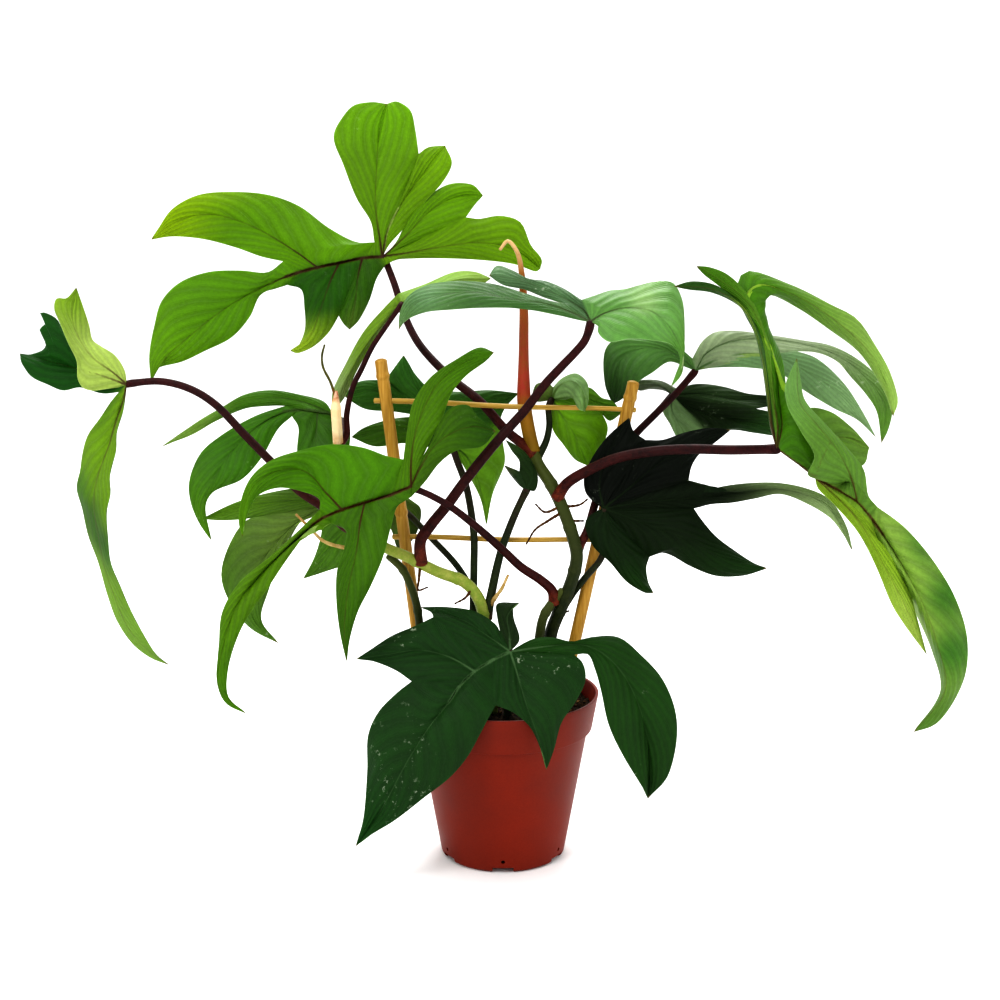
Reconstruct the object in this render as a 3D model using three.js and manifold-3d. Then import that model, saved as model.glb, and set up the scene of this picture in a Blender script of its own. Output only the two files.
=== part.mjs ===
// Potted florida green philodendron, tied to a small bamboo trellis.
// Millimetres, +Z up, front towards -Y. The origin is on the pot's axis, on the ground.

import * as THREE from 'three';
import { mergeVertices } from 'three/addons/utils/BufferGeometryUtils.js';
import Module from 'manifold-3d';

const wasm = await Module();
wasm.setup();

// Free space between two pieces that touch
const GAP = 0.3;

// Corners nearer than this are one
const SAME_CORNER = 1e-4;

// Leaves and stems are laid out as they are seen from this point in front of the plant
const EYE = new THREE.Vector3(-2, -1077, 457);

// The 13 cm nursery pot
const POT = {
  height: 113.5,
  rimRadius: 65,
  bandHeight: 24.5,
  bandFootRadius: 60.5,
  bodyTopRadius: 57.8,
  footRadius: 42.3,
  footRingWidth: 5,
  footRecess: 3,
  footRounding: 2.2,
  wall: 2,
  edge: 0.6,
  step: 1,
  floorTop: 5.2,
  padRadius: 10,
  notches: 6,
  notchWidth: 14,
  notchHeight: 3.4,
  notchDepth: 12,
  sideHoleHeight: 8,
  sideHoleRadius: 1.3,
  drainRadius: 3.5,
  drainRing: 25,
  holeSides: 10,
  sides: 36,
};

// Soil: level at `top`, a little lower all round, with low waves of two lengths in mm
const SOIL = {
  top: 103.5,
  edgeDrop: 4,
  bump: 1.6,
  longWave: 20,
  shortWave: 10,
  rings: [0.98, 0.7, 0.4, 0],
};

// Bamboo
const STAKE = { radius: 4, nodeSwell: 0.5, nodeHalf: 2, nodeEvery: 92, topNode: 10, sides: 10 };
const RUNG = { radius: 1.7, overhang: 5.5, sides: 6 };

// Leaf blades; freeRows: rows of each lobe that no web joins to the next lobe
const BLADE = { thickness: 0.8, columns: 2, camber: 0.1, freeRows: 3 };

// Blade corners are told apart by their position in thousandths. The shift keeps round numbers
// off the border between two keys.
const KEY = { perMm: 1000, shift: 0.37 };

// Stems
const STEM = { sides: 7, step: 13, sunkTo: 90, reachStep: 0.1 };
const ROOT = { radius: 0.9, sides: 5, step: 7 };

const seen = (across, up, back) => (
  EYE.clone().lerp(new THREE.Vector3(across, 0, up), 1 - back / EYE.y)
);

const lobe = (name, at, rib, before, after, bulge = [3, 3]) => (
  { kind: 'lobe', name, at, rib, edges: [before, after], bulge }
);

const sinus = (at, point) => ({ kind: 'sinus', at, point });

const stem = (startThickness, endThickness, planted, path) => (
  { startThickness, endThickness, planted, path }
);

// Stems: thickness at the start and the end, whether it stands in the soil, and its path as
// [across, up, back]
const STEMS = {
  vine_left: stem(9, 6, true,
    [[-8, 114, -14], [-9.5, 142, -14], [-13, 167.5, -15], [-17.5, 180, -16],
     [-26, 189.5, -17], [-43.5, 196.5, -19], [-65.5, 207.5, -21], [-81, 214.5, -20],
     [-97, 227.5, -15], [-105, 247.5, -11], [-109, 272.5, -8], [-109.5, 284.5, -7]]),
  vine_centre: stem(9, 8, true,
    [[28.5, 112.5, -8], [32.5, 153.5, -4], [36.5, 165.5, -5], [42.5, 180, -7],
     [47.5, 195, -9], [49.5, 207.5, -11], [47.5, 218, -12], [42.5, 233, -11], [37, 246.5, -8],
     [31, 258, -4], [24, 268.5, 1], [19, 279.5, 5]]),
  vine_branch: stem(7, 6, true,
    [[23, 114, -11], [25, 153.5, -12], [27.5, 165.5, -11], [33.5, 175.5, -8],
     [40.5, 183.5, -7]]),
  stem_left: stem(6, 5, true,
    [[-55, 121, -9], [-56.5, 162, -9], [-58.5, 175.5, -9], [-62.5, 188, -11],
     [-67.5, 198.5, -13], [-76.5, 207.5, -17]]),
  sheath: stem(9.5, 2, false,
    [[20, 278, 5], [17, 291.5, 8], [14, 309.5, 10], [13.5, 330.5, 11], [13.5, 351.5, 12],
     [13.5, 371.5, 12], [12, 395.5, 12], [9, 409, 12], [3, 416, 12], [-2, 410.5, 12]]),
  petiole_top: stem(6.5, 4.5, false,
    [[20, 276, 3], [12, 284, 6], [2.5, 292, 8], [-15, 311.5, 10], [-35, 328, 24],
     [-54.5, 349, 42], [-64.5, 369, 56], [-70.5, 388.5, 67], [-76.5, 404, 74]]),
  petiole_far_left: stem(6.5, 4.5, false,
    [[-94, 223, -15], [-106, 228, -11], [-115, 237.5, -8], [-136, 252.5, -5],
     [-154.5, 272.5, -2], [-170.5, 289.5, 0], [-189.5, 310, 4], [-205.5, 320, 7],
     [-225, 325, 10], [-245, 323.5, 11]]),
  petiole_left_front: stem(6.5, 4, false,
    [[34.5, 175, -7], [33, 183.5, -9], [26, 190.5, -11], [12, 200, -15], [0.5, 211, -20],
     [-16.5, 226.5, -28], [-35.5, 241.5, -37], [-48.5, 249, -42], [-60, 254, -44]]),
  petiole_low_front: stem(5.5, 4, true,
    [[3.5, 110.5, -24], [5, 124, -30], [5.5, 135, -38], [5, 139.5, -42]]),
  petiole_right_front: stem(7, 6, false,
    [[36, 247.5, -9], [42.5, 257, -15], [57, 266, -23], [75.5, 274, -29], [98.5, 278.5, -35],
     [123.5, 280, -39], [150, 279.5, -41], [180, 280, -41]]),
  petiole_right_middle: stem(5.5, 4.5, false,
    [[49, 211.5, -10], [55.5, 223, -7], [60.5, 240.5, 0], [65, 256, 8], [73.5, 273.5, 12],
     [85, 287.5, 15], [99.5, 302.5, 19], [113, 316.5, 24], [125, 330.5, 28]]),
  petiole_right_back: stem(5, 4, true,
    [[31.5, 114, 12], [34, 153.5, 11], [42.5, 177, 11], [51.5, 211.5, 12], [58, 232, 14],
     [65, 254.5, 20], [73.5, 272.5, 25], [86, 287.5, 32], [100.5, 304, 41], [109.5, 314, 45.5]]),
  petiole_right_dark: stem(5.5, 4, true,
    [[26, 114, 6], [30, 149, 5], [46, 180, 0], [55.5, 193, -6], [65.5, 205.5, -9],
     [69, 218.5, -8.5], [67.5, 236, -9]]),
  petiole_centre_front: stem(7.5, 5, false,
    [[-55, 202.5, -21], [-55, 218, -23], [-48.5, 228, -22], [-36.5, 243, -20],
     [-26.5, 257, -18], [-11.5, 276, -16], [2, 292, -13], [14, 305.5, -12], [28, 323.5, -15],
     [38.5, 335, -20], [47.5, 344.5, -25], [53.5, 352, -29], [56.5, 360.5, -32]]),
  petiole_left_back: stem(4.5, 3.5, false,
    [[-109, 279.5, -6], [-105.5, 290, 6], [-106, 298, 26], [-110.5, 302.5, 41]]),
  petiole_left_middle: stem(5, 4, true,
    [[-14, 114, 16], [-18, 174.5, 12], [-29, 198, 13], [-49, 221, 17], [-66, 239, 24],
     [-77, 247, 30]]),
  petiole_centre_back: stem(5.5, 4.5, true,
    [[-20.5, 114, -3], [-20, 172, -5], [-19.5, 200.5, -6], [-19.5, 223, -6], [-24.5, 255, 9],
     [-30.5, 272.5, 20], [-33.5, 281.5, 28.5]]),
  petiole_centre_right: stem(4.5, 4, false,
    [[22, 272.5, 4], [28.5, 285.5, 8], [30.5, 296, 9], [30, 307.5, 11.5], [31.5, 312, 13]]),
  petiole_centre_small: stem(6, 4.5, false,
    [[-11, 164.5, -14], [-8.5, 178, -13], [-1.5, 210, -9], [4, 226, -7], [10, 240.5, -5.5],
     [15.5, 252, -5.5]]),
  petiole_arched: stem(4, 3, false,
    [[-109, 282, -6], [-103.5, 289, -3], [-103, 302.5, -1], [-98.5, 321.5, 1],
     [-93, 332.5, 1], [-85.5, 347.5, 1.5], [-75.5, 362, 1.5], [-67, 374, 2]]),
  cataphyll_cream: stem(6, 1.5, false,
    [[-109, 284.5, -8], [-109.5, 296, -10], [-110, 308, -10], [-109.5, 318.5, -9]]),
  dried_sheath_left: stem(3, 1.5, false,
    [[-86.5, 215, -19], [-107.5, 213.5, -13], [-121, 218.5, -10], [-130, 228, -8],
     [-138, 236, -7]]),
  dried_sheath_centre: stem(3, 1.5, false,
    [[-8.5, 173, -15], [-4.5, 180, -17], [-0.5, 185.5, -17], [3.5, 194.5, -16]]),
  dried_tendril: stem(1.8, 1.2, false,
    [[-110, 314.5, -9.5], [-113.5, 325, -7], [-118, 335, -4], [-118.5, 341.5, -2],
     [-116.5, 349, -1]]),
};

// Bamboo ends, [across, up] in the upright plane through the pot's axis: the stakes from foot to top
const STAKES = {
  stake_left: [[-46.5, 60], [-80, 338.5]],
  stake_right: [[30, 60], [85.5, 324]],
};
const RUNGS = {
  rung_upper: [[-79, 312], [81.5, 306]],
  rung_lower: [[-68, 220.5], [66, 218]],
};

// Aerial roots, each from inside its vine to its tip, [across, up, back]
const ROOTS = {
  vine_left: [
    [[-55.5, 200.5, -22], [-56.5, 191, -23], [-57, 184, -24], [-50.5, 186, -25]],
    [[-21, 185.5, -19], [-25, 179, -20], [-32.5, 174.5, -21]],
  ],
  vine_centre: [
    [[38.5, 241.5, -10], [28, 237.5, -12], [21.5, 243, -13]],
    [[39.5, 237.5, -11], [30, 231.5, -13], [21.5, 225.5, -14], [15.5, 215.5, -15]],
    [[40.5, 241, -10], [51, 242.5, -9], [56.5, 246.5, -7]],
    [[44.5, 231.5, -12], [54, 231.5, -8]],
    [[38.5, 167.5, -6], [44.5, 169.5, -6]],
  ],
};

// Leaf blades. back: how far the leaf lies behind the trellis; lean: how much further back per
// mm of height; rows: steps from the rachis to each tip
const LEAVES = {
  // bright leaf at the top, facing the front
  top: {
    back: 70, lean: 0.35, rows: 7,
    rachis: [[-78, 406], [-91, 405], [-106, 402], [-120, 399], [-132, 396], [-141, 393]],
    blade: [
      lobe('right upper', 0,
        [[-63, 419, 2], [-47, 435, 8], [-30, 444, 14], [-13, 445, 20]],
        [[-69, 415], [-60, 432], [-47, 445], [-34, 452], [-21, 452]],
        [[-19, 438]]),
      sinus(0, [-24, 431, 12]),
      lobe('right', 0,
        [[-63, 408, 1], [-41, 412, 6], [-15, 415, 14], [8, 410, 22], [24, 398, 30]],
        [[-15, 430], [-2, 432], [11, 428], [18, 413], [24, 406]],
        [[-70, 404], [-57, 405], [-41, 405], [-15, 404], [8, 401], [19, 397]]),
      sinus(0, [-76, 401]),
      lobe('lower finger', 1,
        [[-94, 393, -2], [-96, 378, -6], [-100, 359, -10]],
        [[-82, 392], [-87, 378], [-94, 365]],
        [[-104, 363]]),
      sinus(1, [-107, 368, -6]),
      lobe('lower', 2,
        [[-112, 390, -3], [-118, 374, -8], [-126, 355, -14], [-139, 345, -18]],
        [[-114, 357], [-124, 348], [-133, 344]],
        [[-131, 385], [-129, 373], [-129, 359], [-133, 349]]),
      sinus(4, [-140, 388]),
      lobe('terminal', 5,
        [[-161, 384], [-183, 371, -4], [-204, 355, -10], [-221, 340, -18], [-231, 325, -26]],
        [[-157, 382], [-165, 367], [-177, 354], [-195, 345], [-210, 338], [-226, 334]],
        [[-152, 396], [-170, 397], [-191, 396], [-210, 389], [-222, 377], [-227, 362],
         [-231, 344]]),
      sinus(4, [-142, 403]),
      lobe('upper left', 3,
        [[-138, 412, 2], [-163, 426, 4], [-189, 433, 3], [-211, 428, -3], [-227, 417, -12]],
        [[-156, 406], [-173, 412], [-192, 417], [-212, 419]],
        [[-94, 415], [-112, 424], [-131, 438], [-150, 445], [-172, 447], [-196, 445],
         [-213, 436], [-222, 424]]),
      sinus(1, [-83, 415]),
      lobe('upper', 0,
        [[-80, 420, 1], [-82, 439, 4], [-81, 461, 9], [-79, 483, 15], [-74, 502, 20]],
        [[-85, 428], [-94, 443], [-102, 464], [-108, 482], [-102, 494], [-95, 501], [-85, 503]],
        [[-56, 486], [-59, 498], [-66, 503]]),
      sinus(0, [-54, 471, 10]),
      lobe('upper right', 0,
        [[-74, 424, 1], [-63, 443, 5], [-50, 460, 11], [-37, 476, 18]],
        [[-48, 475]],
        [[-74, 413], [-65, 423], [-51, 440], [-39, 453], [-33, 464]]),
    ],
  },
  // bright leaf in front on the left
  left_front: {
    back: -48, lean: 0.2, rows: 7,
    rachis: [[-61, 255], [-75, 249], [-92, 244], [-107, 239], [-119, 234], [-127, 229]],
    blade: [
      lobe('right', 0,
        [[-55, 267], [-47, 280, 3], [-35, 290, 6], [-20, 295, 8], [-5, 292, 8]],
        [[-56, 269], [-47, 285], [-40, 301], [-33, 308], [-23, 309], [-16, 301]],
        [[-52, 258], [-42, 271], [-31, 279], [-14, 282]]),
      sinus(0, [-61, 248]),
      lobe('lower', 2,
        [[-95, 231, -3], [-98, 210, -8], [-104, 184, -12], [-107, 158, -10], [-106, 134, -5]],
        [[-70, 242], [-75, 227], [-80, 208], [-89, 187], [-98, 169], [-104, 149]],
        [[-105, 225], [-106, 213], [-111, 198], [-112, 177], [-110, 155]]),
      sinus(4, [-114, 230]),
      lobe('terminal', 5,
        [[-145, 212, -9], [-165, 192, -19], [-180, 172, -26], [-189, 146, -26],
         [-193, 115, -18], [-175, 97, -10]],
        [[-127, 227], [-140, 212], [-157, 187], [-172, 166], [-181, 148], [-187, 127],
         [-187, 109]],
        [[-135, 226], [-156, 207], [-177, 189], [-189, 169], [-192, 146], [-194, 118],
         [-189, 105]], [-2, -2]),
      sinus(4, [-122, 239]),
      lobe('left', 3,
        [[-118, 251, -1], [-131, 265, -7], [-148, 266, -15], [-164, 257, -22],
         [-172, 241, -23], [-174, 221, -18]],
        [[-122, 246], [-135, 252], [-150, 254], [-164, 248], [-171, 234]],
        [[-76, 275], [-93, 281], [-114, 283], [-134, 279], [-154, 272], [-167, 261],
         [-174, 246], [-176, 232]]),
      sinus(1, [-66, 273]),
      lobe('finger', 0,
        [[-61, 269], [-59, 286, 3], [-53, 305, 7], [-43, 323, 11], [-26, 337, 14],
         [-6, 344, 13]],
        [[-63, 293], [-59, 311], [-48, 327], [-31, 339], [-16, 347]],
        [[-57, 266], [-48, 286], [-40, 301], [-34, 317], [-24, 329], [-12, 338]]),
    ],
  },
  // dark leaf that hangs over the front of the rim
  low_front: {
    back: -46, lean: 0.5, rows: 7,
    rachis: [[5, 141], [-7, 135], [-19, 127], [-29, 117], [-37, 105]],
    blade: [
      lobe('far right', 0,
        [[25, 144], [43, 146, 3], [60, 144, 5], [77, 131, 6], [91, 107, 10], [99, 77, 18],
         [100, 36, 34]],
        [[11, 145], [21, 150], [33, 151], [47, 148], [60, 151], [78, 151], [94, 138],
         [108, 122], [117, 101], [119, 80], [114, 54]],
        [[58, 139], [62, 130], [67, 113], [72, 90], [83, 66], [95, 46]]),
      sinus(0, [48, 139]),
      lobe('front', 0,
        [[10, 124], [16, 103], [24, 80, 4], [30, 57, 10]],
        [[54, 133], [56, 121], [49, 105], [40, 91], [35, 72]],
        [[7, 98], [19, 87], [26, 72]]),
      sinus(1, [-5, 103]),
      lobe('terminal', 4,
        [[-50, 88, 2], [-65, 64, 10], [-80, 35, 24], [-92, 14, 36], [-102, 1, 42]],
        [[-10, 94], [-16, 82], [-24, 67], [-36, 52], [-54, 37], [-75, 20], [-89, 11]],
        [[-73, 111], [-85, 98], [-92, 82], [-93, 57], [-96, 24]]),
      sinus(3, [-62, 120]),
      lobe('left', 2,
        [[-36, 137], [-56, 142], [-78, 139], [-99, 136]],
        [[-73, 128], [-87, 134]],
        [[-59, 159], [-75, 152], [-90, 142]]),
      sinus(1, [-47, 165]),
      lobe('upper left', 0,
        [[-9, 151, 2], [-25, 162, 3], [-39, 167, 4], [-55, 172, 4]],
        [[-48, 168]],
        [[-5, 160], [-19, 169], [-37, 172]]),
      sinus(0, [-2, 155, 2]),
      lobe('upper', 0,
        [[4, 155, 3], [3, 166, 6], [11, 175, 8]],
        [[-4, 166], [-4, 174]],
        [[11, 149], [7, 165], [7, 172]]),
    ],
  },
  // large twisted leaf on the right
  right_front: {
    back: -45, lean: 0, rows: 7,
    rachis: [[181, 280], [195, 270], [207, 261], [221, 253], [236, 244], [245, 234], [254, 222]],
    blade: [
      lobe('upper far left', 0,
        [[177, 296, -2], [174, 316, -3], [170, 339, -3], [164, 359, -3], [155, 374, -4],
         [136, 385, -6], [111, 387, -8]],
        [[176, 296], [173, 316], [169, 339], [164, 357], [159, 366], [154, 374], [136, 383],
         [121, 385]],
        [[123, 390]], [20, 3]),
      sinus(0, [138, 389, -5]),
      lobe('upper left', 0,
        [[181, 296, 0], [177, 316, 0], [174, 339, 0], [168, 361, 0], [158, 378, -1],
         [142, 390, -3], [125, 400, -6]],
        [[131, 394]],
        [[144, 394], [134, 399]], [2, 2]),
      sinus(0, [154, 388, 0]),
      lobe('upper right', 0,
        [[184, 296, 2], [181, 316, 3], [178, 339, 3], [172, 362, 3], [165, 377, 2],
         [173, 384, 4], [193, 378, 10], [216, 365, 18], [236, 348, 26], [250, 327, 32],
         [257, 302, 36]],
        [[161, 392], [186, 385], [213, 374], [230, 366], [242, 350], [253, 332], [259, 315]],
        [[211, 275], [208, 287], [197, 291], [190, 297], [186, 318], [180, 344], [173, 365],
         [171, 381], [192, 375], [213, 360], [233, 344], [249, 321]], [6, 18]),
      sinus(1, [207, 266]),
      lobe('lens', 2,
        [[212, 276, 8], [219, 287, 14], [229, 287, 18], [242, 281, 20]],
        [[200, 286], [197, 299], [201, 307], [215, 305], [229, 295]],
        [[227, 266], [238, 269]], [4, 4]),
      sinus(3, [228, 259, 4]),
      lobe('twisted', 4,
        [[232, 259, -8], [222, 278, -16], [208, 295, -20], [195, 311, -17], [192, 340, -10]],
        [[221, 257], [209, 260], [202, 263], [206, 275], [197, 291], [187, 309], [185, 321]],
        [[243, 248], [239, 266], [227, 281], [213, 296], [198, 313], [195, 326]], [-8, 6]),
      sinus(5, [249, 241]),
      lobe('terminal', 6,
        [[269, 199, -6], [284, 172, -14], [294, 146, -20], [301, 114, -20], [281, 84, -10]],
        [[268, 227], [289, 203], [305, 177], [314, 149], [313, 121], [297, 91]],
        [[267, 192], [278, 169], [291, 141], [298, 113]], [8, 20]),
      sinus(5, [252, 216]),
      lobe('lower', 2,
        [[223, 247, -1], [240, 227, -8], [255, 201, -15], [270, 174, -18], [287, 139, -12]],
        [[263, 207], [272, 187], [279, 165]],
        [[209, 254], [221, 242], [239, 221], [253, 194], [263, 172], [274, 156]], [10, -4]),
    ],
  },
  // leaf behind the centre right, with a long forked right lobe
  right_middle: {
    back: 25, lean: 0.3, rows: 7,
    rachis: [[126, 332]],
    blade: [
      lobe('left', 0,
        [[117, 340, 3], [104, 346, 5], [89, 346, 7], [77, 338, 8], [72, 310, 6]],
        [[121, 334], [109, 338], [98, 331], [89, 325], [79, 314]],
        [[114, 348], [106, 352], [89, 354], [74, 353], [67, 346], [67, 323]]),
      sinus(0, [124, 340]),
      lobe('far right', 0,
        [[133, 344], [148, 351, 2], [168, 353, 4], [192, 350, 6], [216, 343, 8],
         [235, 330, 8], [251, 309, 4], [250, 284, -2]],
        [[130, 351], [138, 357], [151, 358], [168, 356], [194, 352], [215, 348], [234, 338],
         [248, 325], [256, 309], [254, 293]],
        [[205, 344], [219, 338], [227, 329], [238, 317], [246, 305]]),
      sinus(0, [191, 345]),
      lobe('right', 0,
        [[137, 338], [156, 343], [179, 341, -1], [201, 330, -3], [223, 315, -5],
         [246, 288, -8]],
        [[205, 340], [224, 323], [237, 304]],
        [[137, 334], [162, 334], [180, 331], [198, 319], [218, 307], [233, 300]]),
    ],
  },
  // dark leaf behind the centre right
  right_back: {
    back: 42, lean: 0.2, rows: 6,
    rachis: [[111, 316]],
    blade: [
      lobe('arch', 0,
        [[103, 322], [94, 323], [86, 321]],
        [[106, 319], [96, 320], [90, 319]],
        [[104, 325], [94, 326], [88, 325]], [4, 4]),
      sinus(0, [114, 320]),
      lobe('upper', 0,
        [[129, 317, 2], [152, 313, 5], [172, 313, 7], [189, 312, 8]],
        [[125, 323], [134, 323], [146, 321], [160, 317], [177, 315]],
        [[177, 309]]),
      sinus(0, [166, 307]),
      lobe('lower', 0,
        [[124, 307], [146, 301], [169, 297], [196, 291]],
        [[177, 304]],
        [[150, 293], [166, 291], [183, 289]]),
      sinus(0, [138, 289]),
      lobe('grey', 0,
        [[111, 306, -4], [117, 295, -5], [125, 282, -4]],
        [[134, 284]],
        [[107, 312], [105, 306], [110, 297], [117, 285]], [-3, -3]),
    ],
  },
  // very dark leaf right of the middle
  right_dark: {
    back: -14.5, lean: 0, rows: 7,
    rachis: [[67, 240]],
    blade: [
      lobe('upper', 0,
        [[64, 255], [67, 271], [74, 286], [83, 301]],
        [[61, 244], [55, 251], [54, 262], [59, 274], [68, 287], [76, 295]],
        [[86, 292]]),
      sinus(0, [94, 286]),
      lobe('upper right', 0,
        [[84, 254], [104, 271], [124, 281], [150, 293]],
        [[105, 286], [120, 291], [135, 294]],
        [[125, 269], [130, 277], [138, 283]]),
      sinus(0, [123, 259]),
      lobe('right', 0,
        [[91, 244], [124, 247, -1], [157, 251, -4], [187, 253, -9], [215, 242, -16],
         [234, 211, -24]],
        [[124, 252], [134, 252], [147, 255], [164, 257], [184, 257], [203, 253], [217, 246],
         [228, 230]],
        [[138, 243], [152, 244], [168, 247], [184, 250], [203, 243], [219, 233], [227, 223]]),
      sinus(0, [127, 240]),
      lobe('lower right', 0,
        [[91, 231, -2], [118, 221, -6], [147, 206, -12], [177, 199, -18]],
        [[131, 234], [142, 221], [155, 211], [167, 203]],
        [[106, 210], [113, 208], [125, 201], [143, 194], [160, 194]]),
      sinus(0, [98, 207]),
      lobe('lower', 0,
        [[71, 224, -1], [79, 208, -5], [91, 192, -11], [101, 182, -17]],
        [[96, 200], [97, 191]],
        [[62, 238], [55, 231], [60, 215], [72, 203], [83, 190], [94, 183]]),
    ],
  },
  // glossy leaf across the upper middle
  centre_front: {
    back: -35, lean: 0.9, rows: 8,
    rachis: [[57, 364]],
    blade: [
      lobe('left', 0,
        [[45, 370], [27, 376], [4, 379], [-18, 383], [-41, 381], [-58, 375], [-68, 359]],
        [[50, 365], [37, 368], [22, 371], [5, 373], [-15, 373], [-33, 372], [-51, 370],
         [-63, 365]],
        [[28, 378], [12, 383], [-5, 388], [-20, 390], [-34, 390], [-51, 387], [-62, 380],
         [-67, 370]]),
      sinus(0, [42, 375, 2]),
      lobe('upper left', 0,
        [[53, 371, 2], [42, 378, 4], [27, 385, 5], [10, 391, 5], [-9, 394, 3]],
        [[29, 379], [14, 385], [0, 388]],
        [[40, 385], [28, 390], [16, 392], [6, 397], [-4, 400]], [8, 2]),
      sinus(0, [51, 378]),
      lobe('right', 0,
        [[65, 369], [81, 373], [98, 370], [111, 357], [118, 338], [110, 321]],
        [[60, 381], [69, 384], [79, 385], [90, 388], [100, 390], [110, 389], [116, 379],
         [118, 365], [118, 344], [117, 330]],
        [[62, 361], [62, 357], [69, 351], [83, 353], [96, 352], [110, 349], [116, 340],
         [113, 329]]),
    ],
  },
  // leaf at the far left that shows its pale underside
  far_left: {
    back: 8, lean: 0, rows: 8,
    rachis: [[-247, 323]],
    blade: [
      lobe('upper', 0,
        [[-256, 331, -2], [-269, 341, -6], [-278, 355, -8], [-281, 370, -8], [-277, 386, -6]],
        [[-248, 332], [-254, 342], [-263, 348], [-268, 352], [-270, 362], [-273, 373]],
        [[-261, 320], [-270, 319], [-276, 321], [-279, 327], [-279, 338], [-284, 350],
         [-289, 364], [-292, 373], [-290, 379], [-284, 379]], [14, -10]),
      sinus(0, [-253, 321, 0]),
      lobe('dark', 0,
        [[-264, 329, 10], [-289, 336, 22], [-316, 343, 30]],
        [[-274, 335], [-285, 349], [-291, 366], [-301, 370], [-298, 363], [-302, 359],
         [-298, 351], [-300, 346], [-307, 343]],
        [[-263, 317], [-278, 321], [-289, 319], [-299, 323], [-309, 328], [-314, 335]], [10, -4]),
      sinus(0, [-252, 318, 0]),
      lobe('hanging', 0,
        [[-250, 311, -1], [-255, 298, -3], [-260, 283, -4], [-265, 271, -4], [-270, 257, -2],
         [-272, 241, 0], [-270, 221, 2], [-267, 200, 2], [-261, 179, 0], [-253, 158, -3],
         [-242, 144, -6], [-227, 132, -8]],
        [[-258, 311], [-265, 301], [-274, 289], [-278, 277], [-280, 266], [-283, 254],
         [-280, 240], [-277, 222], [-271, 203], [-266, 181], [-260, 162], [-250, 146],
         [-239, 137]],
        [[-250, 306], [-255, 291], [-256, 279], [-259, 269], [-261, 261], [-261, 250],
         [-264, 238], [-264, 218], [-263, 203], [-257, 186], [-251, 170], [-243, 153],
         [-235, 139]], [22, -18]),
    ],
  },
  // leaf behind on the left
  left_back: {
    back: 45, lean: 0.4, rows: 6,
    rachis: [[-112, 303], [-122, 305], [-134, 306], [-144, 305]],
    blade: [
      lobe('hanging', 1,
        [[-123, 293], [-124, 273], [-123, 248]],
        [[-103, 299], [-102, 279], [-110, 257]],
        [[-135, 295], [-136, 278], [-132, 258]]),
      sinus(2, [-139, 302]),
      lobe('terminal', 3,
        [[-159, 297], [-176, 282], [-190, 263], [-200, 240], [-195, 218]],
        [[-148, 294], [-160, 274], [-173, 260], [-193, 251], [-198, 242]],
        [[-163, 302], [-186, 289], [-200, 277], [-208, 259], [-208, 246], [-203, 231]]),
      sinus(2, [-142, 309]),
      lobe('finger', 0,
        [[-131, 311], [-153, 314], [-176, 309], [-199, 296], [-225, 282]],
        [[-153, 309], [-170, 307], [-189, 299], [-205, 290]],
        [[-117, 311], [-133, 316], [-152, 319], [-170, 316], [-186, 307], [-200, 299]]),
    ],
  },
  // leaf behind the front left one
  left_middle: {
    back: 34, lean: 0.15, rows: 6,
    rachis: [[-78, 248]],
    blade: [
      lobe('right', 0,
        [[-68, 240], [-63, 227], [-67, 210]],
        [[-68, 249], [-59, 244], [-55, 240], [-57, 225]],
        [[-74, 224], [-71, 214]]),
      sinus(0, [-78, 232]),
      lobe('lower', 0,
        [[-91, 238], [-108, 222], [-121, 205], [-134, 192]],
        [[-88, 215], [-103, 203], [-119, 197]],
        [[-121, 225], [-126, 207]]),
      sinus(0, [-122, 237]),
      lobe('terminal', 0,
        [[-102, 244], [-127, 237], [-152, 216], [-170, 188], [-168, 164], [-152, 147]],
        [[-133, 233], [-144, 216], [-158, 183], [-163, 163]],
        [[-171, 232], [-183, 215], [-189, 194], [-184, 176], [-171, 158]]),
      sinus(0, [-159, 235]),
      lobe('left', 0,
        [[-102, 248], [-128, 246], [-155, 244], [-178, 240], [-201, 233]],
        [[-172, 233], [-187, 232]],
        [[-84, 252], [-115, 256], [-148, 252], [-175, 245]]),
    ],
  },
  // dark leaf behind the middle, with one light lobe hanging
  centre_back: {
    back: 32, lean: 0.2, rows: 6,
    rachis: [[-34, 283]],
    blade: [
      lobe('lower left', 0,
        [[-51, 291], [-75, 293], [-100, 288]],
        [[-44, 281], [-65, 284], [-85, 282]],
        [[-73, 300], [-92, 294]]),
      sinus(0, [-52, 302]),
      lobe('left', 0,
        [[-48, 303], [-68, 314], [-86, 319], [-104, 315]],
        [[-71, 305], [-91, 307]],
        [[-93, 325], [-99, 322]]),
      sinus(0, [-77, 326]),
      lobe('peak', 0,
        [[-47, 309], [-58, 323], [-65, 342]],
        [[-71, 334]],
        [[-58, 330], [-62, 337]]),
      sinus(0, [-48, 319]),
      lobe('right', 0,
        [[-27, 305], [-9, 313], [10, 317]],
        [[-28, 318], [-9, 319]],
        [[1, 307]]),
      sinus(0, [-3, 297]),
      lobe('hanging', 0,
        [[-24, 275], [-16, 258], [-11, 229]],
        [[0, 283], [1, 271], [-7, 250]],
        [[-31, 277], [-24, 265], [-15, 247]]),
    ],
  },
  // leaf behind the upper rung
  centre_right: {
    back: 16, lean: 0, rows: 6,
    rachis: [[32, 313]],
    blade: [
      lobe('left', 0,
        [[25, 318], [19, 316]],
        [[27, 312], [22, 312]],
        [[29, 324], [22, 323]]),
      sinus(0, [33, 321]),
      lobe('curled', 0,
        [[37, 322, -8], [46, 325, -20], [52, 318, -26], [54, 305, -25]],
        [[39, 327], [48, 330], [55, 324], [56, 314]],
        [[46, 314], [49, 308]], [-2, -4]),
      sinus(0, [41, 313, -6]),
      lobe('right', 0,
        [[49, 315, 1], [64, 310, 2], [78, 304, 3]],
        [[56, 321], [65, 314], [72, 312]],
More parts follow.
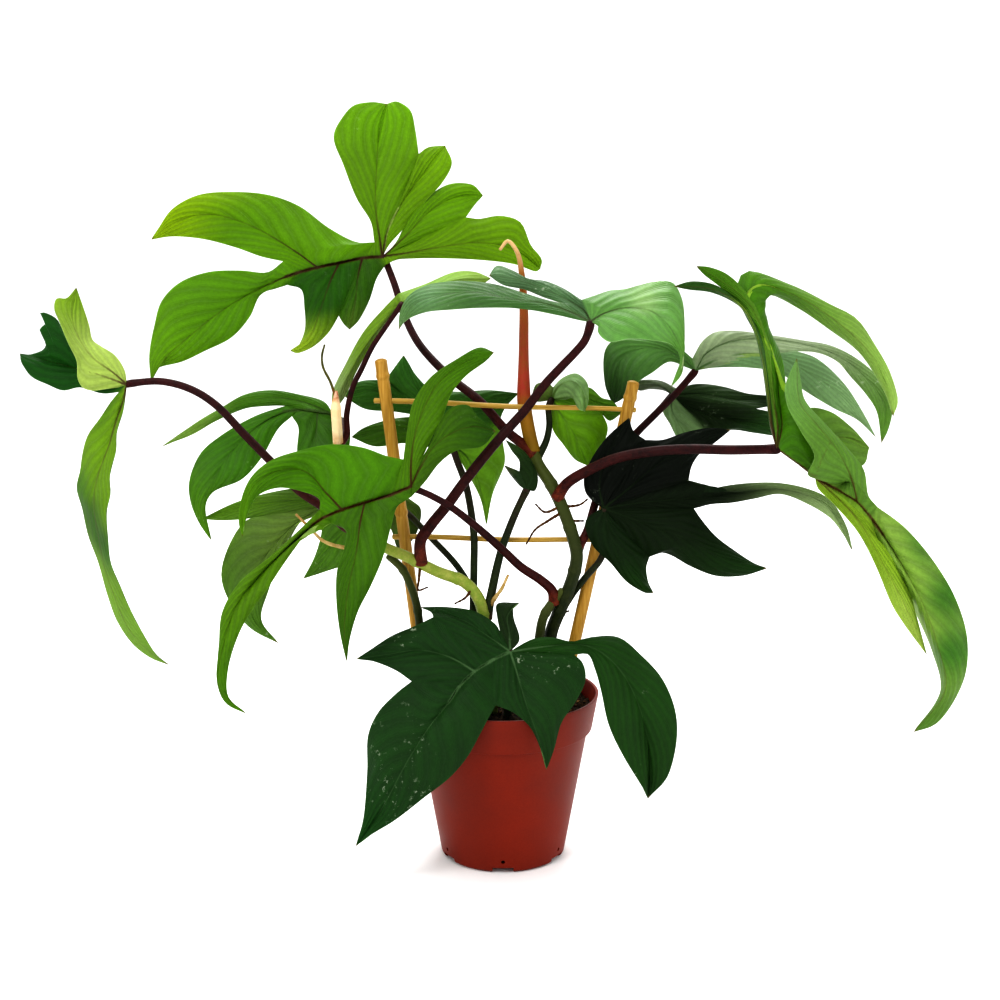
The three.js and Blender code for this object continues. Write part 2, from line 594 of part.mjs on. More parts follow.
        [[70, 299]]),
      sinus(0, [65, 304]),
      lobe('hanging', 0,
        [[37, 305], [47, 290], [56, 269]],
        [[69, 294], [63, 277]],
        [[32, 306], [33, 293], [40, 283], [48, 273]]),
    ],
  },
  // small dark leaf beside the middle vine
  centre_small: {
    back: -9, lean: 0, rows: 5,
    rachis: [[16, 253]],
    blade: [
      lobe('lower', 0,
        [[9, 261], [1, 269]],
        [[13, 254], [5, 263]],
        [[6, 267]]),
      sinus(0, [11, 265]),
      lobe('upper', 0,
        [[19, 263], [12, 276], [2, 286]],
        [[11, 272], [6, 279]],
        [[21, 252], [23, 261], [16, 276], [9, 282]]),
    ],
  },
  // narrow pale leaf that arches up and over
  arched: {
    back: 6, lean: 0, rows: 6,
    rachis: [[-66, 376]],
    blade: [
      lobe('left', 0,
        [[-76, 366], [-88, 351], [-100, 332], [-108, 316], [-112, 305]],
        [[-70, 370], [-84, 352], [-96, 332], [-104, 315]],
        [[-77, 373], [-91, 357], [-103, 336], [-112, 317]], [8, 12]),
      sinus(0, [-68, 382, 3]),
      lobe('right', 0,
        [[-51, 383], [-31, 391], [-8, 392]],
        [[-51, 388], [-31, 396], [-18, 396]],
        [[-51, 378], [-31, 387], [-15, 388]], [12, 8]),
    ],
  },
};

// Geometry and solids

function geometryFrom(points, triangles) {
  const numbers = points.flatMap((point) => point.toArray());
  const geometry = new THREE.BufferGeometry();
  geometry.setAttribute('position', new THREE.Float32BufferAttribute(numbers, 3));
  geometry.setIndex(triangles.flat());
  return geometry;
}

function solidOf(geometry) {
  const bare = geometry.clone();
  bare.deleteAttribute('normal');
  bare.deleteAttribute('uv');
  const merged = mergeVertices(bare, SAME_CORNER);
  const corners = merged.index.array;
  const kept = [];
  for (let i = 0; i < corners.length; i += 3) {
    const [a, b, c] = corners.slice(i, i + 3);
    if (a !== b && b !== c && c !== a) kept.push(a, b, c);
  }
  return new wasm.Manifold(new wasm.Mesh({
    numProp: 3,
    vertProperties: Float32Array.from(merged.attributes.position.array),
    triVerts: Uint32Array.from(kept),
  }));
}

function geometryOf(solid) {
  const mesh = solid.getMesh();
  const geometry = new THREE.BufferGeometry();
  geometry.setAttribute('position', new THREE.BufferAttribute(mesh.vertProperties, 3));
  geometry.setIndex(new THREE.BufferAttribute(mesh.triVerts, 1));
  geometry.computeVertexNormals();
  return geometry;
}

// A cut can leave scraps: only the largest body is the piece
function largest(solid) {
  const bodies = solid.decompose();
  return bodies.reduce((best, body) => (body.volume() > best.volume() ? body : best));
}

const without = (solid, cutters) => (
  largest(cutters.reduce((left, cutter) => left.subtract(cutter), solid))
);

// Round bars that taper along a smooth line

function taperedBar(points, startRadius, endRadius, sides, step) {
  const curve = new THREE.CatmullRomCurve3(points);
  const steps = Math.max(2, Math.round(curve.getLength() / step));
  const frames = curve.computeFrenetFrames(steps, false);
  const corners = [];
  const triangles = [];
  for (let i = 0; i <= steps; i += 1) {
    const centre = curve.getPointAt(i / steps);
    const radius = THREE.MathUtils.lerp(startRadius, endRadius, i / steps);
    for (let j = 0; j < sides; j += 1) {
      const angle = (2 * Math.PI * j) / sides;
      corners.push(centre.clone()
        .addScaledVector(frames.normals[i], radius * Math.cos(angle))
        .addScaledVector(frames.binormals[i], radius * Math.sin(angle)));
    }
  }
  for (let i = 0; i < steps; i += 1) {
    for (let j = 0; j < sides; j += 1) {
      const a = i * sides + j;
      const b = i * sides + ((j + 1) % sides);
      triangles.push([a, b, a + sides], [b, b + sides, a + sides]);
    }
  }
  const lastRing = steps * sides;
  const startCentre = corners.push(points[0].clone()) - 1;
  const endCentre = corners.push(points.at(-1).clone()) - 1;
  for (let j = 0; j < sides; j += 1) {
    const k = (j + 1) % sides;
    triangles.push([startCentre, k, j], [endCentre, lastRing + j, lastRing + k]);
  }
  return solidOf(geometryFrom(corners, triangles));
}

const flat = ([across, up, back = 0]) => new THREE.Vector3(across, back, up);

// Where a point of a blade, worked out flat, ends up in space
const placedIn = (leaf) => ({ x, y, z }) => (
  seen(x, z, leaf.back + leaf.lean * (z - leaf.rachis[0][1]) + y)
);

const leafOn = (stalk) => LEAVES[stalk.replace('petiole_', '')];

// A stem's solid, grown by a margin all round where it is to cut its neighbours.
// A planted stem starts straight below its first point, in the soil, and a leaf's stalk goes on
// towards the foot of its blade and stops a little short of it.
function stemSolid(name, grow = 0, short = GAP) {
  const { startThickness, endThickness, planted, path } = STEMS[name];
  const points = path.map(([across, up, back]) => seen(across, up, back));
  if (planted) points.unshift(points[0].clone().setZ(STEM.sunkTo));
  const leaf = leafOn(name);
  if (leaf) {
    const foot = placedIn(leaf)(flat(leaf.rachis[0]));
    points.push(foot.clone().add(points.at(-1).clone().sub(foot).setLength(short)));
  }
  const [startRadius, endRadius] = [startThickness, endThickness].map((t) => t / 2 + grow);
  const bar = taperedBar(points, startRadius, endRadius, STEM.sides, STEM.step);
  const roots = (ROOTS[name] ?? []).map((root) => taperedBar(
    root.map(([across, up, back]) => seen(across, up, back)),
    ROOT.radius + grow,
    ROOT.radius / 2 + grow,
    ROOT.sides,
    ROOT.step,
  ));
  return roots.reduce((whole, root) => whole.add(root), bar);
}

// Leaf blades
// A blade is a fan of lobes, listed clockwise as seen on the upper face. Each lobe has a rib that
// starts at a point of the rachis, and two edges that run from a sinus to the tip. The surface is
// worked out flat, as (across, extra back, up), and then pushed back along the line of sight.

function evenly(points, count) {
  return new THREE.CatmullRomCurve3(points).getSpacedPoints(count);
}

function nearestRow(line, point) {
  const distances = line.map((p) => Math.hypot(p.x - point.x, p.z - point.z));
  return distances.indexOf(Math.min(...distances));
}

function bladeSurface({ rachis, blade, rows }) {
  const { columns, camber } = BLADE;
  const corners = [];
  const triangles = [];
  const known = new Map();
  const indexOf = (point) => {
    const key = point.toArray().map((v) => Math.floor(KEY.perMm * v + KEY.shift)).join();
    if (!known.has(key)) known.set(key, corners.push(point) - 1);
    return known.get(key);
  };
  const stations = rachis.map(flat);
  const spine = stations.length > 1 ? new THREE.CatmullRomCurve3(stations) : null;
  const spineAt = (at) => (spine ? spine.getPoint(at / (stations.length - 1)) : stations[0].clone());
  const ribOf = (part) => evenly([spineAt(part.at), ...part.rib.map(flat)], rows);
  const webRows = (place) => {
    const point = flat(blade[place].point);
    const [before, after] = [-1, 1].map((side) => nearestRow(ribOf(blade[place + side]), point));
    return THREE.MathUtils.clamp(Math.round((before + after) / 2), 1, rows - BLADE.freeRows);
  };

  blade.forEach((part, place) => {
    if (part.kind !== 'lobe') return;
    const rib = ribOf(part);
    [-1, 1].forEach((side, which) => {
      const web = blade[place + side];
      const webEnd = web ? flat(web.point) : rib[0];
      const webCount = web ? webRows(place + side) : 0;
      const webStart = web ? web.at : part.at;
      const edge = evenly([webEnd, ...part.edges[which].map(flat), rib[rows]], rows - webCount);
      const margin = rib.map((ribPoint, i) => {
        if (i < webCount) return spineAt(webStart).lerp(webEnd, i / webCount);
        const along = (i - webCount) / (rows - webCount);
        const point = edge[i - webCount].clone();
        const step = webEnd.y - rib[webCount].y;
        point.y = ribPoint.y + step * (1 - along) + part.bulge[which] * Math.sin(Math.PI * along);
        return point;
      });
      const across = Math.max(1, Math.abs(webStart - part.at)) * columns;
      const grid = rib.map((ribPoint, i) => Array.from({ length: across + 1 }, (_, j) => {
        const t = j / across;
        if (i === 0) return spineAt(part.at + (webStart - part.at) * t);
        const point = ribPoint.clone().lerp(margin[i], t);
        point.y -= camber * ribPoint.distanceTo(margin[i]) * Math.sin(Math.PI * t);
        return point;
      }));
      for (let i = 0; i < rows; i += 1) {
        for (let j = 0; j < across; j += 1) {
          const a = indexOf(grid[i][j]);
          const b = indexOf(grid[i + 1][j]);
          const c = indexOf(grid[i + 1][j + 1]);
          const d = indexOf(grid[i][j + 1]);
          const pair = side > 0 ? [[a, d, c], [a, c, b]] : [[a, c, d], [a, b, c]];
          triangles.push(...pair.filter((t) => new Set(t).size === 3));
        }
      }
    });
  });
  return { corners, triangles };
}

// A blade's solid, grown by a margin over its faces and past its edges where its stalk feels for it
function bladeSolid(leaf, grow = 0) {
  const { corners, triangles } = bladeSurface(leaf);
  const placed = corners.map(placedIn(leaf));
  const count = placed.length;
  const surface = geometryFrom(placed, triangles);
  surface.computeVertexNormals();
  const normals = placed.map((_, i) => (
    new THREE.Vector3().fromBufferAttribute(surface.attributes.normal, i)
  ));
  const edges = new Set(triangles.flatMap(([a, b, c]) => [`${a},${b}`, `${b},${c}`, `${c},${a}`]));
  const rim = [...edges]
    .map((edge) => edge.split(',').map(Number))
    .filter(([a, b]) => !edges.has(`${b},${a}`));
  const outward = placed.map(() => new THREE.Vector3());
  rim.forEach(([a, b]) => {
    const out = placed[b].clone().sub(placed[a]).cross(normals[a]).normalize();
    outward[a].add(out);
    outward[b].add(out);
  });
  const half = BLADE.thickness / 2 + grow;
  const faces = [half, -half].map((height) => placed.map((point, i) => (
    point.clone()
      .addScaledVector(normals[i], height)
      .addScaledVector(outward[i].normalize(), grow)
  )));
  return solidOf(geometryFrom(faces.flat(), [
    ...triangles,
    ...triangles.map(([a, b, c]) => [a + count, c + count, b + count]),
    ...rim.flatMap(([a, b]) => [[a, a + count, b + count], [a, b + count, b]]),
  ]));
}

// A stalk reaches as near to its blade as the free space allows
function stalkSolid(name) {
  const blade = bladeSolid(leafOn(name), GAP);
  let short = 2 * GAP;
  while (!stemSolid(name, 0, short).intersect(blade).isEmpty()) short += STEM.reachStep;
  return stemSolid(name, 0, short);
}

// Pot and soil

function lathe(profile, sides) {
  return new THREE.LatheGeometry(profile.map(([r, z]) => new THREE.Vector2(r, z)), sides);
}

const turned = (profile) => lathe(profile, POT.sides).rotateX(Math.PI / 2);

function wallRadius(height) {
  const bandFoot = POT.height - POT.bandHeight;
  return height > bandFoot
    ? THREE.MathUtils.mapLinear(height, bandFoot, POT.height, POT.bandFootRadius, POT.rimRadius)
    : THREE.MathUtils.mapLinear(height, 0, bandFoot, POT.footRadius, POT.bodyTopRadius);
}

function potSolid() {
  const { height, wall, edge, step, padRadius, footRecess, footRadius, footRounding } = POT;
  const bandFoot = height - POT.bandHeight;
  const ringInside = footRadius - POT.footRingWidth;
  const { floorTop } = POT;
  const underside = [
    [0, 0],
    [padRadius, 0],
    [padRadius + step, footRecess],
    [ringInside - step, footRecess],
    [ringInside, 0],
    [footRadius - footRounding, 0],
    [footRadius - edge, edge],
  ];
  const outside = [
    [wallRadius(footRounding), footRounding],
    [wallRadius(bandFoot), bandFoot - step],
    [wallRadius(bandFoot), bandFoot],
    [wallRadius(bandFoot + edge), bandFoot + edge],
    [wallRadius(height - step), height - step],
    [wallRadius(height) - edge, height],
  ];
  const inside = [
    [wallRadius(height) - wall + edge / 2, height],
    [wallRadius(height - step) - wall, height - step],
    [wallRadius(bandFoot + edge) - wall, bandFoot + edge],
    [wallRadius(bandFoot) - wall, bandFoot - wall],
    [wallRadius(floorTop + wall) - wall, floorTop + wall],
    [wallRadius(floorTop) - 2 * wall, floorTop],
    [0, floorTop],
  ];
  const body = solidOf(turned([...underside, ...outside, ...inside]));

  const { notchWidth, notchDepth, notchHeight, sideHoleRadius, drainRadius, holeSides } = POT;
  const notch = new THREE.BoxGeometry(notchWidth, notchDepth, 2 * notchHeight)
    .translate(0, -footRadius, 0);
  const sideHole = new THREE.CylinderGeometry(sideHoleRadius, sideHoleRadius, notchDepth, holeSides)
    .translate(0, -footRadius, POT.sideHoleHeight);
  const drain = new THREE.CylinderGeometry(drainRadius, drainRadius, 4 * floorTop, holeSides)
    .rotateX(Math.PI / 2)
    .translate(0, -POT.drainRing, 0);
  const cutters = Array.from({ length: POT.notches }, (_, i) => (2 * Math.PI * i) / POT.notches)
    .flatMap((angle) => [notch, sideHole, drain].map((cut) => solidOf(cut.clone().rotateZ(angle))));
  return without(body, cutters);
}

function soilSolid(cutters) {
  const { wall, floorTop, height } = POT;
  const bandFoot = height - POT.bandHeight;
  const inside = (z) => wallRadius(z) - wall - GAP;
  const edgeTop = SOIL.top - SOIL.edgeDrop;
  const geometry = turned([
    [0, floorTop + GAP],
    [inside(floorTop) - wall, floorTop + GAP],
    [inside(floorTop + wall) - GAP, floorTop + wall + GAP],
    [inside(bandFoot - wall), bandFoot - wall - GAP],
    [inside(bandFoot + POT.step), bandFoot + POT.step],
    [inside(edgeTop), edgeTop],
    ...SOIL.rings.map((share) => [inside(edgeTop) * share, SOIL.top]),
  ]);
  const position = geometry.attributes.position;
  const wave = (distance, length) => Math.sin((2 * Math.PI * distance) / length);
  for (let i = 0; i < position.count; i += 1) {
    if (position.getZ(i) > edgeTop + GAP) {
      const [x, y] = [position.getX(i), position.getY(i)];
      const broad = wave(x, SOIL.longWave) * wave(y + SOIL.shortWave, SOIL.longWave);
      const fine = wave(y - x, SOIL.shortWave);
      position.setZ(i, SOIL.top + (SOIL.bump * (2 * broad + fine)) / 3);
    }
  }
  return without(solidOf(geometry), cutters);
}

// Bamboo

const trellisPoint = ([across, up]) => seen(across, up, 0);

function stakeSolid(name, grow = 0) {
  const [foot, top] = STAKES[name].map(trellisPoint);
  const length = foot.distanceTo(top);
  const radius = STAKE.radius + grow;
  const profile = [[0, length + grow], [radius, length + grow]];
  for (let z = length - STAKE.topNode; z > 0; z -= STAKE.nodeEvery) {
    profile.push([radius, z + STAKE.nodeHalf]);
    profile.push([radius + STAKE.nodeSwell, z]);
    profile.push([radius, z - STAKE.nodeHalf]);
  }
  profile.push([radius, -grow], [0, -grow]);
  const along = top.clone().sub(foot).normalize();
  const turn = new THREE.Quaternion().setFromUnitVectors(new THREE.Vector3(0, 1, 0), along);
  return solidOf(lathe(profile.reverse(), STAKE.sides)
    .applyQuaternion(turn)
    .translate(...foot.toArray()));
}

function rungSolid(name, grow = 0) {
  const [left, right] = RUNGS[name].map(trellisPoint);
  const past = right.clone().sub(left).setLength(RUNG.overhang);
  const ends = [left.clone().sub(past), right.clone().add(past)];
  return taperedBar(ends, RUNG.radius + grow, RUNG.radius + grow, RUNG.sides, left.distanceTo(right));
}

// What each stem grows from or lies against: it is cut clear of those
const CLEAR_OF = {
  sheath: ['vine_centre'],
  stem_left: ['vine_left'],
  petiole_top: ['vine_centre', 'sheath'],
  petiole_far_left: ['vine_left'],
  petiole_left_front: ['vine_centre', 'vine_branch'],
  petiole_right_front: ['vine_centre'],
  petiole_right_middle: ['vine_centre'],
  petiole_centre_front: ['vine_left'],
  petiole_left_back: ['vine_left'],
  petiole_centre_right: ['vine_centre', 'sheath'],
  petiole_centre_small: ['vine_left'],
  petiole_arched: ['vine_left', 'petiole_left_back'],
  cataphyll_cream: ['vine_left', 'petiole_arched', 'petiole_left_back'],
  dried_sheath_left: ['vine_left', 'petiole_far_left'],
  dried_sheath_centre: ['vine_left', 'petiole_centre_small'],
  dried_tendril: ['cataphyll_cream'],
};

const FINISH = {
  pot: { color: 0x8c3a22, roughness: 0.55 },
  soil: { color: 0x3a2a1e, roughness: 0.95 },
  bamboo: { color: 0xc98f3c, roughness: 0.5 },
  paleVine: { color: 0x8ba63a, roughness: 0.45 },
  darkVine: { color: 0x4a5a26, roughness: 0.5 },
  sheath: { color: 0xc46a4e, roughness: 0.4 },
  stalk: { color: 0x4a1c1a, roughness: 0.45 },
  dry: { color: 0xb08a58, roughness: 0.8 },
  brightLeaf: { color: 0x4f9420, roughness: 0.35 },
  deepLeaf: { color: 0x3a6e2c, roughness: 0.35 },
  darkLeaf: { color: 0x26431f, roughness: 0.35 },
  paleLeaf: { color: 0x87a848, roughness: 0.5 },
};

// Young leaves are bright, old ones deep or dark green, and some show their pale underside
const LEAF_FINISH = {
  top: FINISH.brightLeaf,
  left_front: FINISH.brightLeaf,
  right_front: FINISH.brightLeaf,
  low_front: FINISH.deepLeaf,
  right_middle: FINISH.deepLeaf,
  centre_front: FINISH.deepLeaf,
  left_back: FINISH.deepLeaf,
  left_middle: FINISH.deepLeaf,
  right_back: FINISH.darkLeaf,
  right_dark: FINISH.darkLeaf,
  centre_back: FINISH.darkLeaf,
  centre_small: FINISH.darkLeaf,
  far_left: FINISH.paleLeaf,
  centre_right: FINISH.paleLeaf,
  arched: FINISH.paleLeaf,
};

const plant = new THREE.Group();

function addPiece(name, solid, finish) {
  const material = new THREE.MeshStandardMaterial({ ...finish, metalness: 0 });
  const mesh = new THREE.Mesh(geometryOf(solid), material);
  mesh.name = name;
  plant.add(mesh);
}

function stemFinish(name) {
  if (name === 'vine_left') return FINISH.paleVine;
  if (name.startsWith('vine') || name === 'stem_left') return FINISH.darkVine;
  if (name === 'sheath') return FINISH.sheath;
  return name.startsWith('petiole') ? FINISH.stalk : FINISH.dry;
}

const stakeNames = Object.keys(STAKES);
const rungNames = Object.keys(RUNGS);
const plantedNames = Object.keys(STEMS).filter((name) => STEMS[name].planted);

addPiece('pot', potSolid(), FINISH.pot);
addPiece('soil', soilSolid([
  ...plantedNames.map((name) => stemSolid(name, GAP)),
  ...stakeNames.map((name) => stakeSolid(name, GAP)),
]), FINISH.soil);
stakeNames.forEach((name) => {
  const cutters = rungNames.map((rung) => rungSolid(rung, GAP));
  addPiece(name, without(stakeSolid(name), cutters), FINISH.bamboo);
});
rungNames.forEach((name) => addPiece(name, rungSolid(name), FINISH.bamboo));

Object.keys(STEMS).filter((name) => name !== 'vine_branch').forEach((name) => {
  const own = leafOn(name) ? stalkSolid(name) : stemSolid(name);
  const whole = name === 'vine_centre' ? own.add(stemSolid('vine_branch')) : own;
  const cutters = (CLEAR_OF[name] ?? []).map((other) => stemSolid(other, GAP));
  addPiece(name, without(whole, cutters), stemFinish(name));
});

Object.entries(LEAVES).forEach(([name, leaf]) => {
  addPiece(`leaf_${name}`, largest(bladeSolid(leaf)), LEAF_FINISH[name]);
});

export default plant;
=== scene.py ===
# %% [markdown]
# # A potted florida green philodendron
# The plant is a climber. Its old stems stand in a nursery pot and lean on a small bamboo trellis,
# and each leaf is a thin blade cut into a fan of lobes, held out on a dark red-brown stalk.
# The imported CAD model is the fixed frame: it says where every leaf, stalk and cane sits. This
# script replaces its faceted solids with finer meshes in the same places and gives them finishes.

# %% Load the frame
import math

import bmesh
import bpy
import numpy as np
from mathutils import Euler, Matrix, Vector, noise


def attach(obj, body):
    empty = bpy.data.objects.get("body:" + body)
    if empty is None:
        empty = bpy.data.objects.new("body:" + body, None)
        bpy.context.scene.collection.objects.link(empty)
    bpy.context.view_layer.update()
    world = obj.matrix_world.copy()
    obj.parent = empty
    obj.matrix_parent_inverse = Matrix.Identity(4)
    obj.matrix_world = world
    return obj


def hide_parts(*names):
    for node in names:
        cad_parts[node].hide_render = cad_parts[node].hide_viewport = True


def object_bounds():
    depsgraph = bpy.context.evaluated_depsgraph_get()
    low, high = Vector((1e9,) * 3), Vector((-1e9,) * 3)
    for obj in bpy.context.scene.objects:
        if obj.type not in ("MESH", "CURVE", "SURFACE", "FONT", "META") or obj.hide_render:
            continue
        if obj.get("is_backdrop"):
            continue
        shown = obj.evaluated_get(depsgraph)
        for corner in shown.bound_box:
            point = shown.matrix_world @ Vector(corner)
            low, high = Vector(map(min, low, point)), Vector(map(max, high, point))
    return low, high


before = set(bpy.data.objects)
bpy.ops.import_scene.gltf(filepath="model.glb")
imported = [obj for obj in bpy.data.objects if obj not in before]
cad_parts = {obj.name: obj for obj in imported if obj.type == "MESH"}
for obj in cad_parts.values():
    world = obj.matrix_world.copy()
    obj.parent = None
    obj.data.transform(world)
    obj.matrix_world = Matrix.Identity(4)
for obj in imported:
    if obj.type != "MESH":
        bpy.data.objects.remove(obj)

cad_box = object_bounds()
print("CAD nodes:", len(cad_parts))
print("box in m:", [tuple(round(c, 3) for c in v) for v in cad_box])

# %% [markdown]
# ## Camera
# The photograph was taken a little above the middle of the plant, looking slightly down. A camera
# is placed by three facts: where its eye is, how far it tilts, and how much it sees. What it sees
# comes from the focal length in picture widths, times the width of the sensor.

# %% Camera
EYE_MM = np.array([-2.0, -1077.0, 457.0])
TILT_DOWN_DEG = 11.1
FOCAL_IN_WIDTHS = 1.65
SENSOR_MM = 36.0
MM = 0.001

camera_data = bpy.data.cameras.new("camera")
camera_data.sensor_width = SENSOR_MM
camera_data.lens = FOCAL_IN_WIDTHS * SENSOR_MM
camera = bpy.data.objects.new("camera", camera_data)
bpy.context.scene.collection.objects.link(camera)
camera.location = Vector(EYE_MM) * MM
camera.rotation_euler = (math.radians(90 - TILT_DOWN_DEG), 0, 0)
bpy.context.scene.camera = camera
print("lens:", round(camera_data.lens, 1), "mm")

# %% [markdown]
# ## Places, as they are seen
# Leaves and stalks are laid out as the camera sees them: so far across and up in the upright plane
# through the pot's axis, and then so far back along the line of sight. Moving a leaf back or
# forward then leaves the picture as it is. All lengths are in mm until a mesh is made.

# %% From a seen place to a place in space
def seen(points):
    """Points (across, back, up) as places in space, pushed back along the line of sight."""
    points = np.asarray(points, float)
    on_plane = points.copy()
    on_plane[:, 1] = 0
    reach = 1 - points[:, 1:2] / EYE_MM[1]
    return EYE_MM + (on_plane - EYE_MM) * reach


def flat(point):
    """A listed point [across, up] or [across, up, back] as (across, back, up)."""
    return (point[0], point[2] if len(point) > 2 else 0.0, point[1])


# %% [markdown]
# ## Smooth lines
# A stem, a rib or a leaf's edge is a smooth line through a few measured points. A Catmull-Rom
# curve goes through every point, and its centripetal kind makes no loops where points lie close
# together, so it suits plants better than a curve that only comes near its points.

# %% Smooth line through points
SAMPLES_PER_SPAN = 24


def smooth_line(points):
    """A fine centripetal Catmull-Rom line through the points."""
    points = np.asarray(points, float)
    padded = np.vstack([2 * points[0] - points[1], points, 2 * points[-1] - points[-2]])
    t = np.linspace(0, 1, SAMPLES_PER_SPAN, endpoint=False)[:, None]
    spans = []
    for before, start, end, after in zip(padded, padded[1:], padded[2:], padded[3:]):
        d0, d1, d2 = (max(np.linalg.norm(b - a), 1e-6) ** 0.5
                      for a, b in ((before, start), (start, end), (end, after)))
        leave = ((start - before) / d0 - (end - before) / (d0 + d1) + (end - start) / d1) * d1
        arrive = ((end - start) / d1 - (after - start) / (d1 + d2) + (after - end) / d2) * d1
        rise = end - start
        spans.append(start + leave * t + (3 * rise - 2 * leave - arrive) * t ** 2
                     + (leave + arrive - 2 * rise) * t ** 3)
    return np.vstack(spans + [points[-1:]])


def evenly(points, steps):
    """steps + 1 points, evenly spaced along the smooth line through the points."""
    line = smooth_line(points)
    run = np.concatenate([[0], np.cumsum(np.linalg.norm(np.diff(line, axis=0), axis=1))])
    wanted = np.linspace(0, run[-1], steps + 1)
    return np.stack([np.interp(wanted, run, line[:, axis]) for axis in range(3)], axis=1)


# %% [markdown]
# ## What the leaves are
# Each leaf has a short line at its foot, the rachis, from which its lobes spread. A lobe is its
# middle rib and its two edges, listed clockwise as they are seen; a sinus is the notch between
# two lobes, and the blade joins them from the rachis as far as that notch. `back` is how far the
# leaf is behind the trellis, and `lean` how much further back it goes for each mm of height.

# %% The words for lobes, notches and stems
def lobe(name, at, rib, before, after, bulge=(3, 3)):
    return dict(name=name, at=at, rib=rib, edges=(before, after), bulge=bulge)


def sinus(at, point):
    return dict(name=None, at=at, point=point)


def stem(thick_start, thick_end, planted, path):
    return dict(thick_start=thick_start, thick_end=thick_end, planted=planted, path=path)


# %% [markdown]
# ### The top leaf and the two in front
# One leaf stands 7 cm behind the trellis, at the top. Two stand about 5 cm in front of it, one on
# the left and one low over the pot.

# %% Leaf: top
LEAVES = {}

# Bright leaf at the top, facing the front
LEAVES["top"] = dict(
    back=70, lean=0.35,
    rachis=[[-78, 406], [-91, 405], [-106, 402], [-120, 399], [-132, 396], [-141, 393]],
    blade=[
        lobe("right upper", 0,
            [[-63, 419, 2], [-47, 435, 8], [-30, 444, 14], [-13, 445, 20]],
            [[-69, 415], [-60, 432], [-47, 445], [-34, 452], [-21, 452]],
            [[-19, 438]]),
        sinus(0, [-24, 431, 12]),
        lobe("right", 0,
            [[-63, 408, 1], [-41, 412, 6], [-15, 415, 14], [8, 410, 22], [24, 398, 30]],
            [[-15, 430], [-2, 432], [11, 428], [18, 413], [24, 406]],
            [[-70, 404], [-57, 405], [-41, 405], [-15, 404], [8, 401], [19, 397]]),
        sinus(0, [-76, 401]),
        lobe("lower finger", 1,
            [[-94, 393, -2], [-96, 378, -6], [-100, 359, -10]],
            [[-82, 392], [-87, 378], [-94, 365]],
            [[-104, 363]]),
        sinus(1, [-107, 368, -6]),
        lobe("lower", 2,
            [[-112, 390, -3], [-118, 374, -8], [-126, 355, -14], [-139, 345, -18]],
            [[-114, 357], [-124, 348], [-133, 344]],
            [[-131, 385], [-129, 373], [-129, 359], [-133, 349]]),
        sinus(4, [-140, 388]),
        lobe("terminal", 5,
            [[-161, 384], [-183, 371, -4], [-204, 355, -10], [-221, 340, -18],
             [-231, 325, -26]],
            [[-157, 382], [-165, 367], [-177, 354], [-195, 345], [-210, 338], [-226, 334]],
            [[-152, 396], [-170, 397], [-191, 396], [-210, 389], [-222, 377], [-227, 362],
             [-231, 344]]),
        sinus(4, [-142, 403]),
        lobe("upper left", 3,
            [[-138, 412, 2], [-163, 426, 4], [-189, 433, 3], [-211, 428, -3],
             [-227, 417, -12]],
            [[-156, 406], [-173, 412], [-192, 417], [-212, 419]],
            [[-94, 415], [-112, 424], [-131, 438], [-150, 445], [-172, 447], [-196, 445],
             [-213, 436], [-222, 424]]),
        sinus(1, [-83, 415]),
        lobe("upper", 0,
            [[-80, 420, 1], [-82, 439, 4], [-81, 461, 9], [-79, 483, 15], [-74, 502, 20]],
            [[-85, 428], [-94, 443], [-102, 464], [-108, 482], [-102, 494], [-95, 501],
             [-85, 503]],
            [[-56, 486], [-59, 498], [-66, 503]]),
        sinus(0, [-54, 471, 10]),
        lobe("upper right", 0,
            [[-74, 424, 1], [-63, 443, 5], [-50, 460, 11], [-37, 476, 18]],
            [[-48, 475]],
            [[-74, 413], [-65, 423], [-51, 440], [-39, 453], [-33, 464]]),
    ],
)

